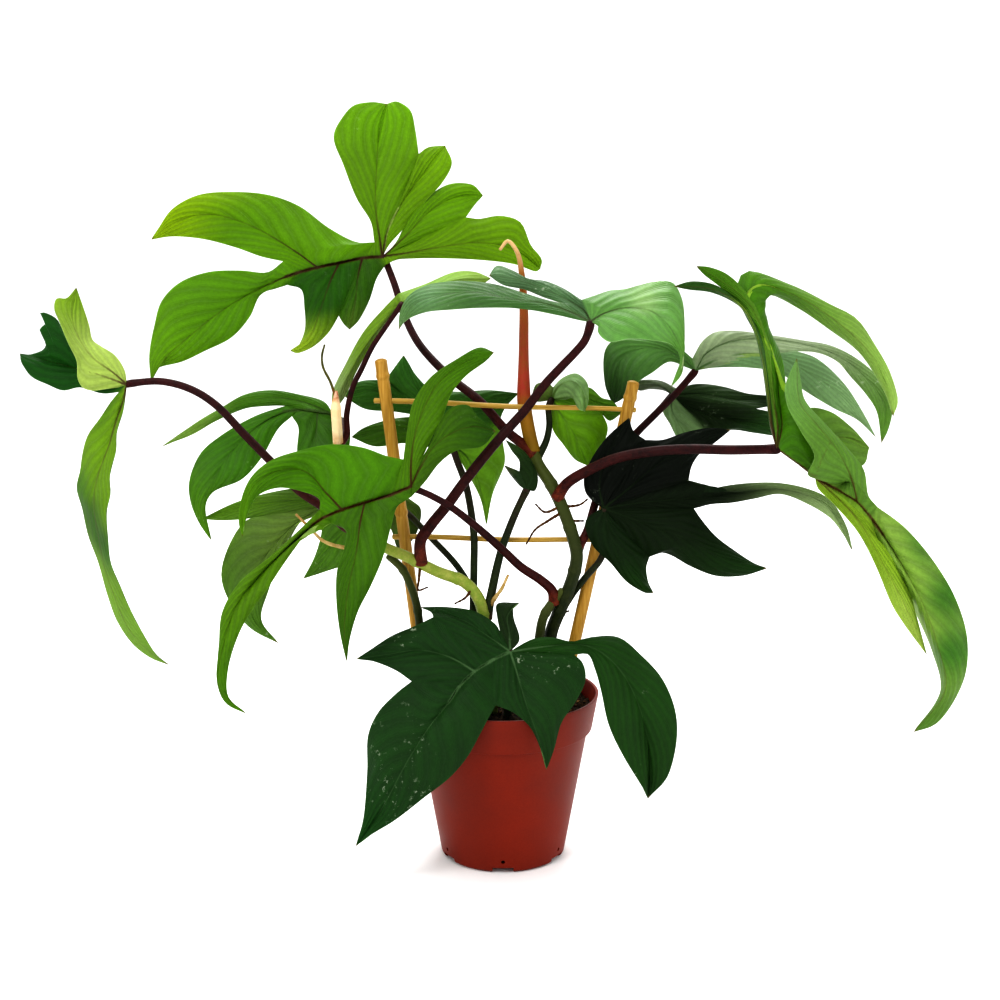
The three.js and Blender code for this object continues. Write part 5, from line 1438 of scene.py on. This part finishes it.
# %% [markdown]
# ### Bamboo, plastic and potting soil
# A bamboo cane is straw yellow with long darker fibres. The pot is moulded polypropylene: its
# colour runs all through, with faint flow marks and scuffs. The soil is peat with bark and grit.

# %% Finishes of the cane, the pot and the soil
def grained_finish(name, size_mm, stretch, colours, roughness, bump_mm, constants):
    """A finish whose colour follows one noise, stretched so many times along each axis."""
    material, tree, shader = new_material(name, constants)
    place = add(tree, "ShaderNodeTexCoord").outputs["Object"]
    drawn = add(tree, "ShaderNodeMapping", {"Vector": place, "Scale": stretch})
    pattern = grain(tree, drawn.outputs["Vector"], size_mm, 8.0, 0.6)
    tones = colour_ramp(tree, pattern, colours)
    scuffs = grain(tree, place, 40, 6.0)
    scuffed = ranged(tree, scuffs, (0.3, 0.7), (0.88, 1.12))
    colour = add(tree, "ShaderNodeHueSaturation", {"Color": tones,
                 "Value": scuffed})
    rough = ranged(tree, scuffs, (0.3, 0.7), (roughness - 0.06, roughness + 0.08))
    bump = add(tree, "ShaderNodeBump", {"Height": pattern, "Strength": 0.6,
               "Distance": bump_mm * MM})
    tree.links.new(colour.outputs["Color"], shader.inputs["Base Color"])
    tree.links.new(rough, shader.inputs["Roughness"])
    tree.links.new(bump.outputs["Normal"], shader.inputs["Normal"])
    return material


BAMBOO = grained_finish("bamboo cane, split and dried", 1.5, (1, 1, 0.06),
                        [(0.25, "#86621c"), (0.5, "#a98030"), (0.75, "#bf9a4c")], 0.5, 0.1,
                        {"IOR": 1.5, "Specular IOR Level": 0.3})
BAMBOO_SLIVER = grained_finish("bamboo sliver, split and dried", 1.5, (0.06, 1, 1),
                               [(0.25, "#8a6a24"), (0.5, "#ac8a3a"), (0.75, "#c4a35a")], 0.5, 0.1,
                               {"IOR": 1.5, "Specular IOR Level": 0.3})
POT_PLASTIC = grained_finish("polypropylene, moulded", 1.2, (1, 1, 1),
                             [(0.3, "#6e1a02"), (0.7, "#761f04")], 0.48, 0.04,
                             {"IOR": 1.49, "Specular IOR Level": 0.22})
SOIL_FINISH = grained_finish("potting soil, peat and bark", 2.5, (1, 1, 1),
                             [(0.35, "#0e0b06"), (0.5, "#241a0e"), (0.62, "#3b2a18"),
                              (0.72, "#5a452c")], 0.9, 0.6,
                             {"IOR": 1.4, "Specular IOR Level": 0.2})
LUMP_FINISH = grained_finish("bark and peat lumps", 9, (1, 1, 1),
                             [(0.38, "#1a1209"), (0.5, "#3a2816"), (0.6, "#6b5030"),
                              (0.7, "#8a7248")], 0.85, 0.4,
                             {"IOR": 1.4, "Specular IOR Level": 0.2})

# %% [markdown]
# ## Putting pieces in the scene
# A piece stands for the CAD nodes it replaces and rides on the one body.

# %% One piece
def piece(name, mesh, slot, finish, *nodes):
    made = bpy.data.objects.new(name, mesh)
    bpy.context.scene.collection.objects.link(made)
    mesh.materials.append(finish)
    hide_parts(*nodes)
    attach(made, "root")
    return made


# %% [markdown]
# ## The blades
# `shows` says which side of the leaf the camera sees; a lobe that twists away has its own side and
# colour in `lobes`. Both sides are painted, since a leaf is looked at from behind too. A lobe's
# colours are its own green with the light and shade that fall on it painted in, so a lobe in shade
# is painted darker and one that catches the light paler.

# %% How each leaf looks
def look(upper, under, rib, wax, shows="upper", lobes=None, patches=()):
    """Lobes: side, colour at the foot and at the tip, light and shade painted in; patches: across,
    up, radius, side, colour.
    """
    return dict(upper=upper, under=under, rib=rib, wax=wax, shows=shows, lobes=lobes or {},
                patches=patches)


LOOKS = {}
LOOKS["top"] = look("#5e8606", "#8fae52", "#3f1c16", 0.3, lobes={
    "right": ("upper", "#668c0c", "#6e9608"),
    "right upper": ("upper", "#608a06", "#6b9a06"),
    "lower finger": ("upper", "#345c06", "#4e6a1c"),
    # The lower lobe bends away: its dark foot is painted shade, its pale tip a painted highlight
    "lower": ("upper", "#285604", "#a2c030"),
    "terminal": ("upper", "#568408", "#5f8a06"),
    "upper left": ("upper", "#5a8602", "#8cac02"),
    "upper": ("upper", "#5e8606", "#669604"),
    "upper right": ("upper", "#658c06", "#729c06"),
})
LOOKS["left_front"] = look("#4c7a10", "#86a352", "#4a2418", 0.35, lobes={
    "lower": ("upper", "#446c0c", "#40680e"),
    "finger": ("upper", "#527a0c", "#4c7a0a"),
    "left": ("upper", "#4e7e08", "#5c8a08"),
    "terminal": ("upper", "#567c0e", "#50800c"),
    "right": ("upper", "#44680c", "#30540a"),
})
LOOKS["low_front"] = look("#173a0e", "#5d7a48", "#4a6640", 0.1, lobes={
    "far right": ("upper", "#1c420c", "#183a0a"),
    "terminal": ("upper", "#173a0e", "#16440e"),
    "upper": ("upper", "#182e0a", "#1a300a"),
})
print("looks so far:", len(LOOKS))

# %% Looks: the leaves on the right
LOOKS["right_front"] = look("#3f651c", "#8cb23a", "#54361e", 0.6, lobes={
    "upper left": ("under", "#6c9634", "#4c7a14"),
    "upper far left": ("upper", "#4c7038", "#32581a"),
    "upper right": ("upper", "#4a7a10", "#9cbc60"),
    "twisted": ("under", "#648a38", "#78a058"),
    "lens": ("upper", "#5c7e30", "#6a8a38"),
    "lower": ("under", "#88a82e", "#aac25c"),
    "terminal": ("upper", "#82a048", "#5c8230"),
}, patches=[
    (284, 217, 14, "upper", "#3a6a20"),
    (300, 180, 16, "upper", "#3c6e20"),
    (306, 142, 16, "upper", "#447626"),
])
LOOKS["right_middle"] = look("#547e3c", "#86a058", "#4b6a38", 0.9, lobes={
    "left": ("upper", "#547e3c", "#284718"),
    "far right": ("upper", "#8a9a76", "#5f8830"),
    "right": ("upper", "#6e8e60", "#7e9c6c"),
})
LOOKS["right_back"] = look("#121f0a", "#3c4c34", "#1c2c14", 0.7, lobes={
    # The grey lobe's pale grey-green is partly a painted reflection of the light on its wax
    "grey": ("under", "#6a8258", "#708c5c"),
    "arch": ("upper", "#5c6850", "#5c6850"),
    "lower": ("upper", "#18280e", "#305424"),
    "upper": ("upper", "#34482a", "#182a10"),
})
LOOKS["right_dark"] = look("#102209", "#5a6a48", "#182810", 0.3, lobes={
    "right": ("under", "#101c0a", "#94ac74"),
    # The upper lobes are painted near black: painted shadow over the leaf's own dark green
    "upper": ("upper", "#080f06", "#080f06"),
    "upper right": ("upper", "#080f06", "#0c160a"),
    "lower": ("upper", "#12260a", "#1c3c0e"),
    "lower right": ("upper", "#102008", "#18360c"),
})
print("looks so far:", len(LOOKS))

# %% Looks: the slanting leaf, and the far left one
LOOKS["centre_front"] = look("#3f6628", "#8aa468", "#3f4c28", 0.9, lobes={
    "left": ("upper", "#426832", "#5a7e46"),
    "upper left": ("upper", "#507048", "#5e7e56"),
    "right": ("upper", "#5e8a44", "#5e8e34"),
# The two patches are painted highlights: pale glare on the waxy right and left lobes
}, patches=[(92, 378, 10, "upper", "#86a868"), (-52, 382, 12, "upper", "#64885a")])
LOOKS["far_left"] = look("#1f5507", "#8ea93e", "#4c3420", 0.2, "under", lobes={
    "dark": ("upper", "#144c06", "#144c06"),
    "upper": ("under", "#a2b85c", "#7a9c24"),
    "hanging": ("under", "#688c18", "#74983a"),
}, patches=[
    (-266, 306, 7, "upper", "#2c6410"),
    (-283, 256, 8, "upper", "#245a10"),
    (-276, 237, 9, "upper", "#1a4a08"),
    (-269, 219, 9, "upper", "#1a4a08"),
    (-263, 205, 6, "upper", "#245a10"),
])
print("looks so far:", len(LOOKS))

# %% Looks: the leaves behind
LOOKS["left_back"] = look("#3a640c", "#7c9a4a", "#3c5420", 0.5, lobes={
    "finger": ("upper", "#447010", "#80a048"),
    "terminal": ("upper", "#40700e", "#52800f"),
})
LOOKS["left_middle"] = look("#4c741a", "#7c9a4a", "#3c5420", 0.5, lobes={
    "left": ("upper", "#4c6c1a", "#5c8418"),
    "right": ("upper", "#445c18", "#2c3a14"),
    "terminal": ("upper", "#5c7430", "#4a701c"),
})
LOOKS["centre_back"] = look("#36601e", "#6c8844", "#2c4418", 0.5, lobes={
    "hanging": ("upper", "#6c9a28", "#6c9a28"),
    "lower left": ("upper", "#3c6010", "#446a1e"),
    "peak": ("upper", "#36601e", "#40742a"),
})
print("looks so far:", len(LOOKS))

# %% Looks: the last three leaves
LOOKS["centre_right"] = look("#5e8e16", "#7f9a58", "#4e6c28", 0.5, lobes={
    "curled": ("under", "#7c9c64", "#6a8a4a"),
    "hanging": ("upper", "#70a018", "#649414"),
    "left": ("upper", "#5a7030", "#42601c"),
    "right": ("upper", "#5e8a20", "#4e7a16"),
})
LOOKS["centre_small"] = look("#22361a", "#55703c", "#22381a", 0.5, lobes={
    "upper": ("upper", "#1a2e0e", "#304a1c"),
    "lower": ("upper", "#22361a", "#4c5434"),
})
LOOKS["arched"] = look("#4f7a20", "#74932f", "#5c6c30", 0.5, "under", lobes={
    "left": ("under", "#6c8c24", "#889c64"),
    "right": ("under", "#86a850", "#8aa84c"),
})
print("looks so far:", len(LOOKS))

# %% Blades
BLADE_SLOTS = {
    "leaf_bright": ("top", "left_front", "right_front"),
    "leaf_deep": ("low_front", "right_middle", "centre_front", "left_back", "left_middle"),
    "leaf_dark": ("right_back", "right_dark", "centre_back", "centre_small"),
    "leaf_pale": ("far_left", "centre_right", "arched"),
}

blade_faces = 0
for slot, names in BLADE_SLOTS.items():
    for name in names:
        mesh = blade_mesh(f"blade_{name}", LEAVES[name], LOOKS[name])
        piece(f"blade_{name}", mesh, slot, LEAF_FINISHES[slot], f"leaf_{name}")
        blade_faces += len(mesh.polygons)
print("blade faces:", blade_faces)

# %% [markdown]
# ## Stems, stalks, sheaths and roots
# A stalk widens where it clasps its stem and again, a little, just below the blade. A climbing
# stem has a ring where each old leaf came off. Sheaths are wider than they are thick.

# %% Stems and stalks
BAR_STEP_MM = 1.5
SUNK_TO_MM = 90
BLADE_GAP_MM = 0.6
NODE_EVERY_MM = 31.0
ROOT_RADII = (1.1, 0.5)
LEAF_SCAR_MM = 0.45


def stem_line(name):
    """The middle line of a stem, evenly spaced, in mm."""
    facts = STEMS[name]
    points = seen([(p[0], p[2], p[1]) for p in facts["path"]])
    if facts["planted"]:
        points = np.vstack([[*points[0][:2], SUNK_TO_MM], points])
    leaf = LEAVES.get(name.replace("petiole_", ""))
    if leaf:
        across, back, up = flat(leaf["rachis"][0])
        foot = seen([(across, back + leaf["back"], up)])[0]
        towards = points[-1] - foot
        points = np.vstack([points, foot + towards / np.linalg.norm(towards) * BLADE_GAP_MM])
    length = np.linalg.norm(np.diff(points, axis=0), axis=1).sum()
    return evenly(points, int(length / BAR_STEP_MM))


def stem_radius(name):
    start, end = STEMS[name]["thick_start"] / 2, STEMS[name]["thick_end"] / 2

    def radius(run, length, angles):
        taper = start + (end - start) * run / length
        if name.startswith("petiole"):
            foot = 0.9 * math.exp(-run / 7)
            knee = 0.35 * bump_at(run, length - 4, 4)
            return taper * (1 + 0.015 * np.sin(5 * angles + run / 9)) + foot + knee
        if name in ("vine_left", "vine_centre", "vine_branch", "stem_left"):
            ring = sum(bump_at(run, at, 1.6) for at in np.arange(20, length, NODE_EVERY_MM))
            ridges = 0.02 * np.sin(7 * angles) + 0.012 * np.sin(13 * angles + run / 6)
            return taper * (1 + ridges) + LEAF_SCAR_MM * ring
        if name == "sheath":
            belly = 0.7 * bump_at(run, length * 0.25, 20) + 0.5 * bump_at(run, length * 0.62, 25)
            keel = 0.5 * np.maximum(0, np.cos(angles)) ** 6
            return taper + belly + keel
        if name == "cataphyll_cream":
            narrowed = 1 - 0.75 * max(0, run / length - 0.7) / 0.3
            return 3.4 * narrowed * (1 + 0.05 * np.sin(6 * angles))
        crumple = 0.16 * np.sin(3 * angles + run / 3) + 0.1 * np.sin(7 * angles - run / 2)
        return taper * (1 + crumple)

    return radius


def slot_of(name):
    if name == "vine_left":
        return "vine_pale"
    if name in ("vine_centre", "vine_branch", "stem_left"):
        return "vine_olive"
    if name == "sheath":
        return "new_leaf_sheath"
    return "petiole" if name.startswith("petiole") else "dry_sheath"


for name in STEMS:
    dry = slot_of(name) == "dry_sheath"
    flatten = 0.6 if dry and name != "cataphyll_cream" else 1.0
    mesh = bar_mesh(name, stem_line(name), stem_radius(name), 28, flatten)
    node = "vine_centre" if name == "vine_branch" else name
    finish = FINISH_OF.get(name, STEM_FINISHES[slot_of(name)])
    piece(f"{name}_fine", mesh, slot_of(name), finish, node)


def root_radius(run, length, angles):
    taper = ROOT_RADII[0] + (ROOT_RADII[1] - ROOT_RADII[0]) * run / length
    return taper + 0.12 * np.sin(run * 1.9 + 2 * angles)


for name, roots in ROOTS.items():
    for number, path in enumerate(roots, 1):
        root_name = f"root_{name}_{number}"
        line = evenly(seen([(p[0], p[2], p[1]) for p in path]), 30)
        mesh = bar_mesh(root_name, line, root_radius, 10)
        piece(root_name, mesh, slot_of(name), ROOT_FINISH, name)
print("stems, stalks and roots are in")

# %% [markdown]
# ## The trellis
# Two bamboo canes stand in the pot, with two split slivers across them. A cane is straight and has
# a joint every 9 cm or so; a sliver is split from one, so it is thinner and a little angular.

# %% Canes and slivers
CANES = {"stake_left": ([-46.5, 60], [-80, 338.5]), "stake_right": ([30, 60], [85.5, 324])}
SLIVERS = {"rung_upper": ([-79, 312], [81.5, 306]), "rung_lower": ([-68, 220.5], [66, 218])}
CANE_RADIUS, JOINT_SWELL, JOINT_EVERY_MM, TOP_JOINT_MM = 4.0, 0.5, 92.0, 10.0
SLIVER_RADIUS, OVERHANG_MM = 1.7, 5.5


def cane_radius(run, length, angles):
    joints = np.arange(length - TOP_JOINT_MM, 0, -JOINT_EVERY_MM)
    swell = sum(bump_at(run, at, 1.8) for at in joints)
    pinch = sum(bump_at(run, at - 2.6, 0.9) for at in joints)
    return CANE_RADIUS * (1 + 0.012 * np.sin(9 * angles)) + JOINT_SWELL * swell - 0.25 * pinch


for name, (foot, top) in CANES.items():
    line = np.linspace(*seen([(foot[0], 0, foot[1]), (top[0], 0, top[1])]), 320)
    mesh = bar_mesh(name, line, cane_radius, 36)
    piece(f"{name}_fine", mesh, "bamboo", BAMBOO, name)


def sliver_radius(run, length, angles):
    return SLIVER_RADIUS * (1 + 0.08 * np.cos(4 * angles + run / 40))


for name, (left, right) in SLIVERS.items():
    ends = seen([(left[0], 0, left[1]), (right[0], 0, right[1])])
    past = (ends[1] - ends[0]) / np.linalg.norm(ends[1] - ends[0]) * OVERHANG_MM
    line = np.linspace(ends[0] - past, ends[1] + past, 160)
    line[:, 2] += 0.5 * np.sin(np.linspace(0, 9, 160))
    mesh = bar_mesh(name, line, sliver_radius, 16)
    piece(f"{name}_fine", mesh, "bamboo", BAMBOO_SLIVER, name)
print("trellis is in")

# %% [markdown]
# ## The pot
# The 13 cm nursery pot is injection moulded: a thin wall that tapers, a stiff band round the rim,
# a foot ring with notches for the water, and holes in the floor. A profile turned round the axis
# gives all but the notches and holes, which are cut after; real edges are rounded, so are these.

# %% Pot
POT_HEIGHT, BAND_HEIGHT, WALL = 113.5, 24.5, 2.0
RIM_R, BAND_FOOT_R, BODY_TOP_R, FOOT_R = 65.0, 60.5, 57.8, 42.3
FLOOR_TOP, FOOT_RING, FOOT_RECESS, PAD_R = 5.2, 5.0, 3.0, 10.0
NOTCHES, NOTCH_WIDTH, NOTCH_HEIGHT = 6, 14.0, 3.4
SIDE_HOLE_R, SIDE_HOLE_UP, DRAIN_R, DRAIN_RING = 1.3, 8.0, 3.5, 25.0
TURNED_SIDES = 144
BAND_FOOT = POT_HEIGHT - BAND_HEIGHT


def wall_radius(up):
    if up > BAND_FOOT:
        return BAND_FOOT_R + (RIM_R - BAND_FOOT_R) * (up - BAND_FOOT) / BAND_HEIGHT
    return FOOT_R + (BODY_TOP_R - FOOT_R) * up / BAND_FOOT


def rounded(profile, radius=0.5, steps=4):
    """The profile with each corner drawn as a small curve."""
    points = [np.array(p, float) for p in profile]
    smooth = [points[0]]
    for before, corner, after in zip(points, points[1:], points[2:]):
        arms = [p - corner for p in (before, after)]
        reach = [min(radius, 0.45 * np.linalg.norm(arm)) for arm in arms]
        start, end = (corner + arm / np.linalg.norm(arm) * r for arm, r in zip(arms, reach))
        for t in np.linspace(0, 1, steps):
            smooth.append((1 - t) ** 2 * start + 2 * t * (1 - t) * corner + t * t * end)
    return smooth + [points[-1]]


def turned_mesh(name, profile, sides=TURNED_SIDES):
    """The profile of (radius, up) points, from axis to axis, turned into a closed mesh."""
    angles = np.linspace(0, 2 * np.pi, sides, endpoint=False)
    rings = np.array([(r * np.cos(a), r * np.sin(a), z) for r, z in profile[1:-1] for a in angles])
    ends = np.array([(0, 0, profile[0][1]), (0, 0, profile[-1][1])])
    mesh = bpy.data.meshes.new(name)
    mesh.from_pydata((np.vstack([rings, ends]) * MM).tolist(), [],
                     ring_faces(len(profile) - 2, sides))
    return mesh


pot_profile = rounded([
    (0, 0), (PAD_R, 0), (PAD_R + 1, FOOT_RECESS), (FOOT_R - FOOT_RING - 1, FOOT_RECESS),
    (FOOT_R - FOOT_RING, 0), (FOOT_R - 1.4, 0), (FOOT_R + 0.1, 1.4),
    (wall_radius(50), 50), (wall_radius(BAND_FOOT), BAND_FOOT - 0.4),
    (wall_radius(BAND_FOOT + 0.6), BAND_FOOT + 0.2),
    (wall_radius(POT_HEIGHT - 6), POT_HEIGHT - 6), (RIM_R, POT_HEIGHT),
    (RIM_R - WALL, POT_HEIGHT), (wall_radius(POT_HEIGHT - 12) - WALL, POT_HEIGHT - 12),
    (wall_radius(BAND_FOOT + 0.6) - WALL, BAND_FOOT + 0.6),
    (wall_radius(BAND_FOOT) - WALL, BAND_FOOT - WALL),
    (wall_radius(FLOOR_TOP + WALL) - WALL, FLOOR_TOP + WALL),
    (wall_radius(FLOOR_TOP) - 2 * WALL, FLOOR_TOP), (0, FLOOR_TOP),
])
pot_mesh = turned_mesh("pot_fine", pot_profile)
pot_mesh.shade_smooth()
pot = piece("pot_fine", pot_mesh, "pot_plastic", POT_PLASTIC, "pot")

cutter_mesh = bpy.data.meshes.new("water ways")
shapes = bmesh.new()
for i in range(NOTCHES):
    turn = 2 * math.pi * i / NOTCHES
    made = bmesh.ops.create_cube(shapes, size=1)["verts"]
    bmesh.ops.scale(shapes, vec=Vector((NOTCH_WIDTH, 12, 2 * NOTCH_HEIGHT)) * MM, verts=made)
    bmesh.ops.translate(shapes, vec=Vector((0, -FOOT_R, 0)) * MM, verts=made)
    side = bmesh.ops.create_cone(shapes, cap_ends=True, segments=24, depth=12 * MM,
                                 radius1=SIDE_HOLE_R * MM, radius2=SIDE_HOLE_R * MM)["verts"]
    bmesh.ops.rotate(shapes, cent=(0, 0, 0), verts=side,
                     matrix=Matrix.Rotation(math.pi / 2, 3, "X"))
    bmesh.ops.translate(shapes, vec=Vector((0, -FOOT_R, SIDE_HOLE_UP)) * MM, verts=side)
    drain = bmesh.ops.create_cone(shapes, cap_ends=True, segments=32, depth=30 * MM,
                                  radius1=DRAIN_R * MM, radius2=DRAIN_R * MM)["verts"]
    bmesh.ops.translate(shapes, vec=Vector((0, -DRAIN_RING, 0)) * MM, verts=drain)
    bmesh.ops.rotate(shapes, cent=(0, 0, 0), verts=made + side + drain,
                     matrix=Matrix.Rotation(turn, 3, "Z"))
shapes.to_mesh(cutter_mesh)
shapes.free()
cutter = bpy.data.objects.new("water ways", cutter_mesh)
bpy.context.scene.collection.objects.link(cutter)
cut = pot.modifiers.new("water ways", "BOOLEAN")
cut.operation = "DIFFERENCE"
cut.solver = "EXACT"
cut.object = cutter
bpy.context.view_layer.update()
with_cut = pot.evaluated_get(bpy.context.evaluated_depsgraph_get())
cut_mesh = bpy.data.meshes.new_from_object(with_cut)
pot.modifiers.clear()
pot.data = cut_mesh
bpy.data.objects.remove(cutter)
cut_mesh.set_sharp_from_angle(angle=math.radians(35))
print("pot faces:", len(pot.data.polygons))

# %% [markdown]
# ## The soil
# Potting soil settles into low waves, with crumbs of peat, bits of bark and grit on top. The waves
# and crumbs are real relief, since the soil is seen from above between the leaves.

# %% Soil
SOIL_TOP, SOIL_EDGE_DROP, CLEARANCE = 103.5, 4.0, 0.3
SOIL_RINGS, SOIL_SIDES = 72, 240
WAVE_MM, WAVE_SHARE, CRUMB_MM = 1.6, 0.8, 1.5


def inside(up):
    return wall_radius(up) - WALL - CLEARANCE


def soil_height(x, y):
    """How high the soil lies at a place, in mm: two low waves, and crumbs on them."""
    waves = math.sin(x / 3.2) * math.sin(y / 3.2 + 3) * 2 / 3 + math.sin((y - x) / 1.6) / 3
    crumbs = noise.turbulence(Vector((x, y, 0)) / 4, 4, False, noise_basis="VORONOI_F1")
    return SOIL_TOP + WAVE_MM * waves * WAVE_SHARE + CRUMB_MM * (crumbs - 0.5)


edge_up = SOIL_TOP - SOIL_EDGE_DROP
top_rings = [(inside(edge_up) * math.sin(math.pi / 2 * share), SOIL_TOP)
             for share in np.linspace(0.985, 0.01, SOIL_RINGS)]
soil_profile = [
    (0, FLOOR_TOP + CLEARANCE), (inside(FLOOR_TOP) - WALL, FLOOR_TOP + CLEARANCE),
    (inside(FLOOR_TOP + WALL) - CLEARANCE, FLOOR_TOP + WALL + CLEARANCE),
    (inside(BAND_FOOT - WALL) - CLEARANCE, BAND_FOOT - WALL - CLEARANCE),
    (inside(BAND_FOOT + 1), BAND_FOOT + 1), (inside(edge_up), edge_up), *top_rings, (0, SOIL_TOP),
]
soil_mesh = turned_mesh("soil_fine", soil_profile, SOIL_SIDES)
for vertex in soil_mesh.vertices:
    if vertex.co.z > (edge_up + CLEARANCE) * MM:
        vertex.co.z = soil_height(vertex.co.x / MM, vertex.co.y / MM) * MM
soil_mesh.shade_smooth()
piece("soil_fine", soil_mesh, "potting_soil", SOIL_FINISH, "soil")

# %% [markdown]
# Loose lumps lie on the soil: bits of bark and peat of 1 to 3 mm, some pale where they have dried.
# Each is a small sphere squashed and turned by chance, with a fixed seed so that they stay put,
# and is set a little into the soil at the height that the soil has there.

# %% Lumps on the soil
LUMPS = 260
LUMP_MM = (0.6, 1.9)
FROM_WALL_MM = 3
MIDDLE_ABOVE_SOIL = 0.15    # of a lump's size, so that most of its lower half is in the soil
TILT = 0.3                  # radians
chance = np.random.default_rng(7)
lumps = bmesh.new()
for _ in range(LUMPS):
    reach = (inside(edge_up) - FROM_WALL_MM) * math.sqrt(chance.random())
    turn = 2 * math.pi * chance.random()
    made = bmesh.ops.create_icosphere(lumps, subdivisions=2, radius=1)["verts"]
    size = chance.uniform(*LUMP_MM)
    for vertex in made:
        rough = 1 + 0.5 * noise.noise(vertex.co * 1.3 + Vector((turn, reach, size)) * 9)
        vertex.co *= rough
    stretch = Vector((size, size * chance.uniform(0.5, 1), size * chance.uniform(0.4, 0.7)))
    bmesh.ops.scale(lumps, vec=stretch * MM, verts=made)
    tumbled = Euler((TILT * chance.normal(), TILT * chance.normal(), turn * 7)).to_matrix()
    bmesh.ops.rotate(lumps, cent=(0, 0, 0), verts=made, matrix=tumbled)
    x, y = reach * math.cos(turn), reach * math.sin(turn)
    place = Vector((x, y, soil_height(x, y) + MIDDLE_ABOVE_SOIL * size))
    bmesh.ops.translate(lumps, vec=place * MM, verts=made)
lump_mesh = bpy.data.meshes.new("soil_lumps")
lumps.to_mesh(lump_mesh)
lumps.free()
lump_mesh.shade_smooth()
piece("soil_lumps", lump_mesh, "potting_soil", LUMP_FINISH, "soil")
print("soil is in, with", LUMPS, "lumps")

# %% [markdown]
# ## Floor and light
# The plant stands on a pale floor under soft studio light: a big lamp high at the left front, a
# weaker one at the right, one above and behind. Big soft lamps draw the broad pale gloss that waxy
# leaves have, and the near-white surroundings keep their outlines light.

# %% Floor, lamps and surroundings
FLOOR_HALF_M = 6.0
UNDER_THE_POT_M = 0.0005
PAPER_WHITE = (0.93, 0.93, 0.93, 1)    # linear

floor_mesh = bpy.data.meshes.new("floor")
corners = ((-1, -1), (1, -1), (1, 1), (-1, 1))
floor_mesh.from_pydata([(x * FLOOR_HALF_M, y * FLOOR_HALF_M, 0) for x, y in corners], [],
                       [(0, 1, 2, 3)])
floor = bpy.data.objects.new("floor", floor_mesh)
bpy.context.scene.collection.objects.link(floor)
floor.location.z = -UNDER_THE_POT_M
paper = new_material("studio floor, white paper", {"Roughness": 0.9, "Base Color": PAPER_WHITE})
floor_mesh.materials.append(paper[0])
floor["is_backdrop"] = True


def lamp(name, place, watts, size):
    light = bpy.data.lights.new(name, "AREA")
    light.energy = watts
    light.size = size
    made = bpy.data.objects.new(name, light)
    bpy.context.scene.collection.objects.link(made)
    made.location = place
    aim = Vector((0, 0, 0.25)) - Vector(place)
    made.rotation_euler = aim.to_track_quat("-Z", "Y").to_euler()


lamp("key", (-0.9, -1.3, 1.8), 12, 0.5)
lamp("fill", (1.6, -1.2, 0.9), 1.5, 1.0)
lamp("back", (0.1, 1.0, 1.7), 14, 0.8)

world = bpy.data.worlds.new("studio")
bpy.context.scene.world = world
world.use_nodes = True
surroundings = world.node_tree.nodes["Background"]
surroundings.inputs["Color"].default_value = opaque("#ffffff")
surroundings.inputs["Strength"].default_value = 1.0
bpy.context.scene.view_settings.view_transform = "Standard"
bpy.context.scene.view_settings.look = "High Contrast"

# %% Sizes, and the end
sizes = {"cad": [list(v) for v in cad_box], "visual": [list(v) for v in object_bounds()]}
for name, box in sizes.items():
    print(name, "box in mm:", [[round(c / MM, 1) for c in corner] for corner in box])
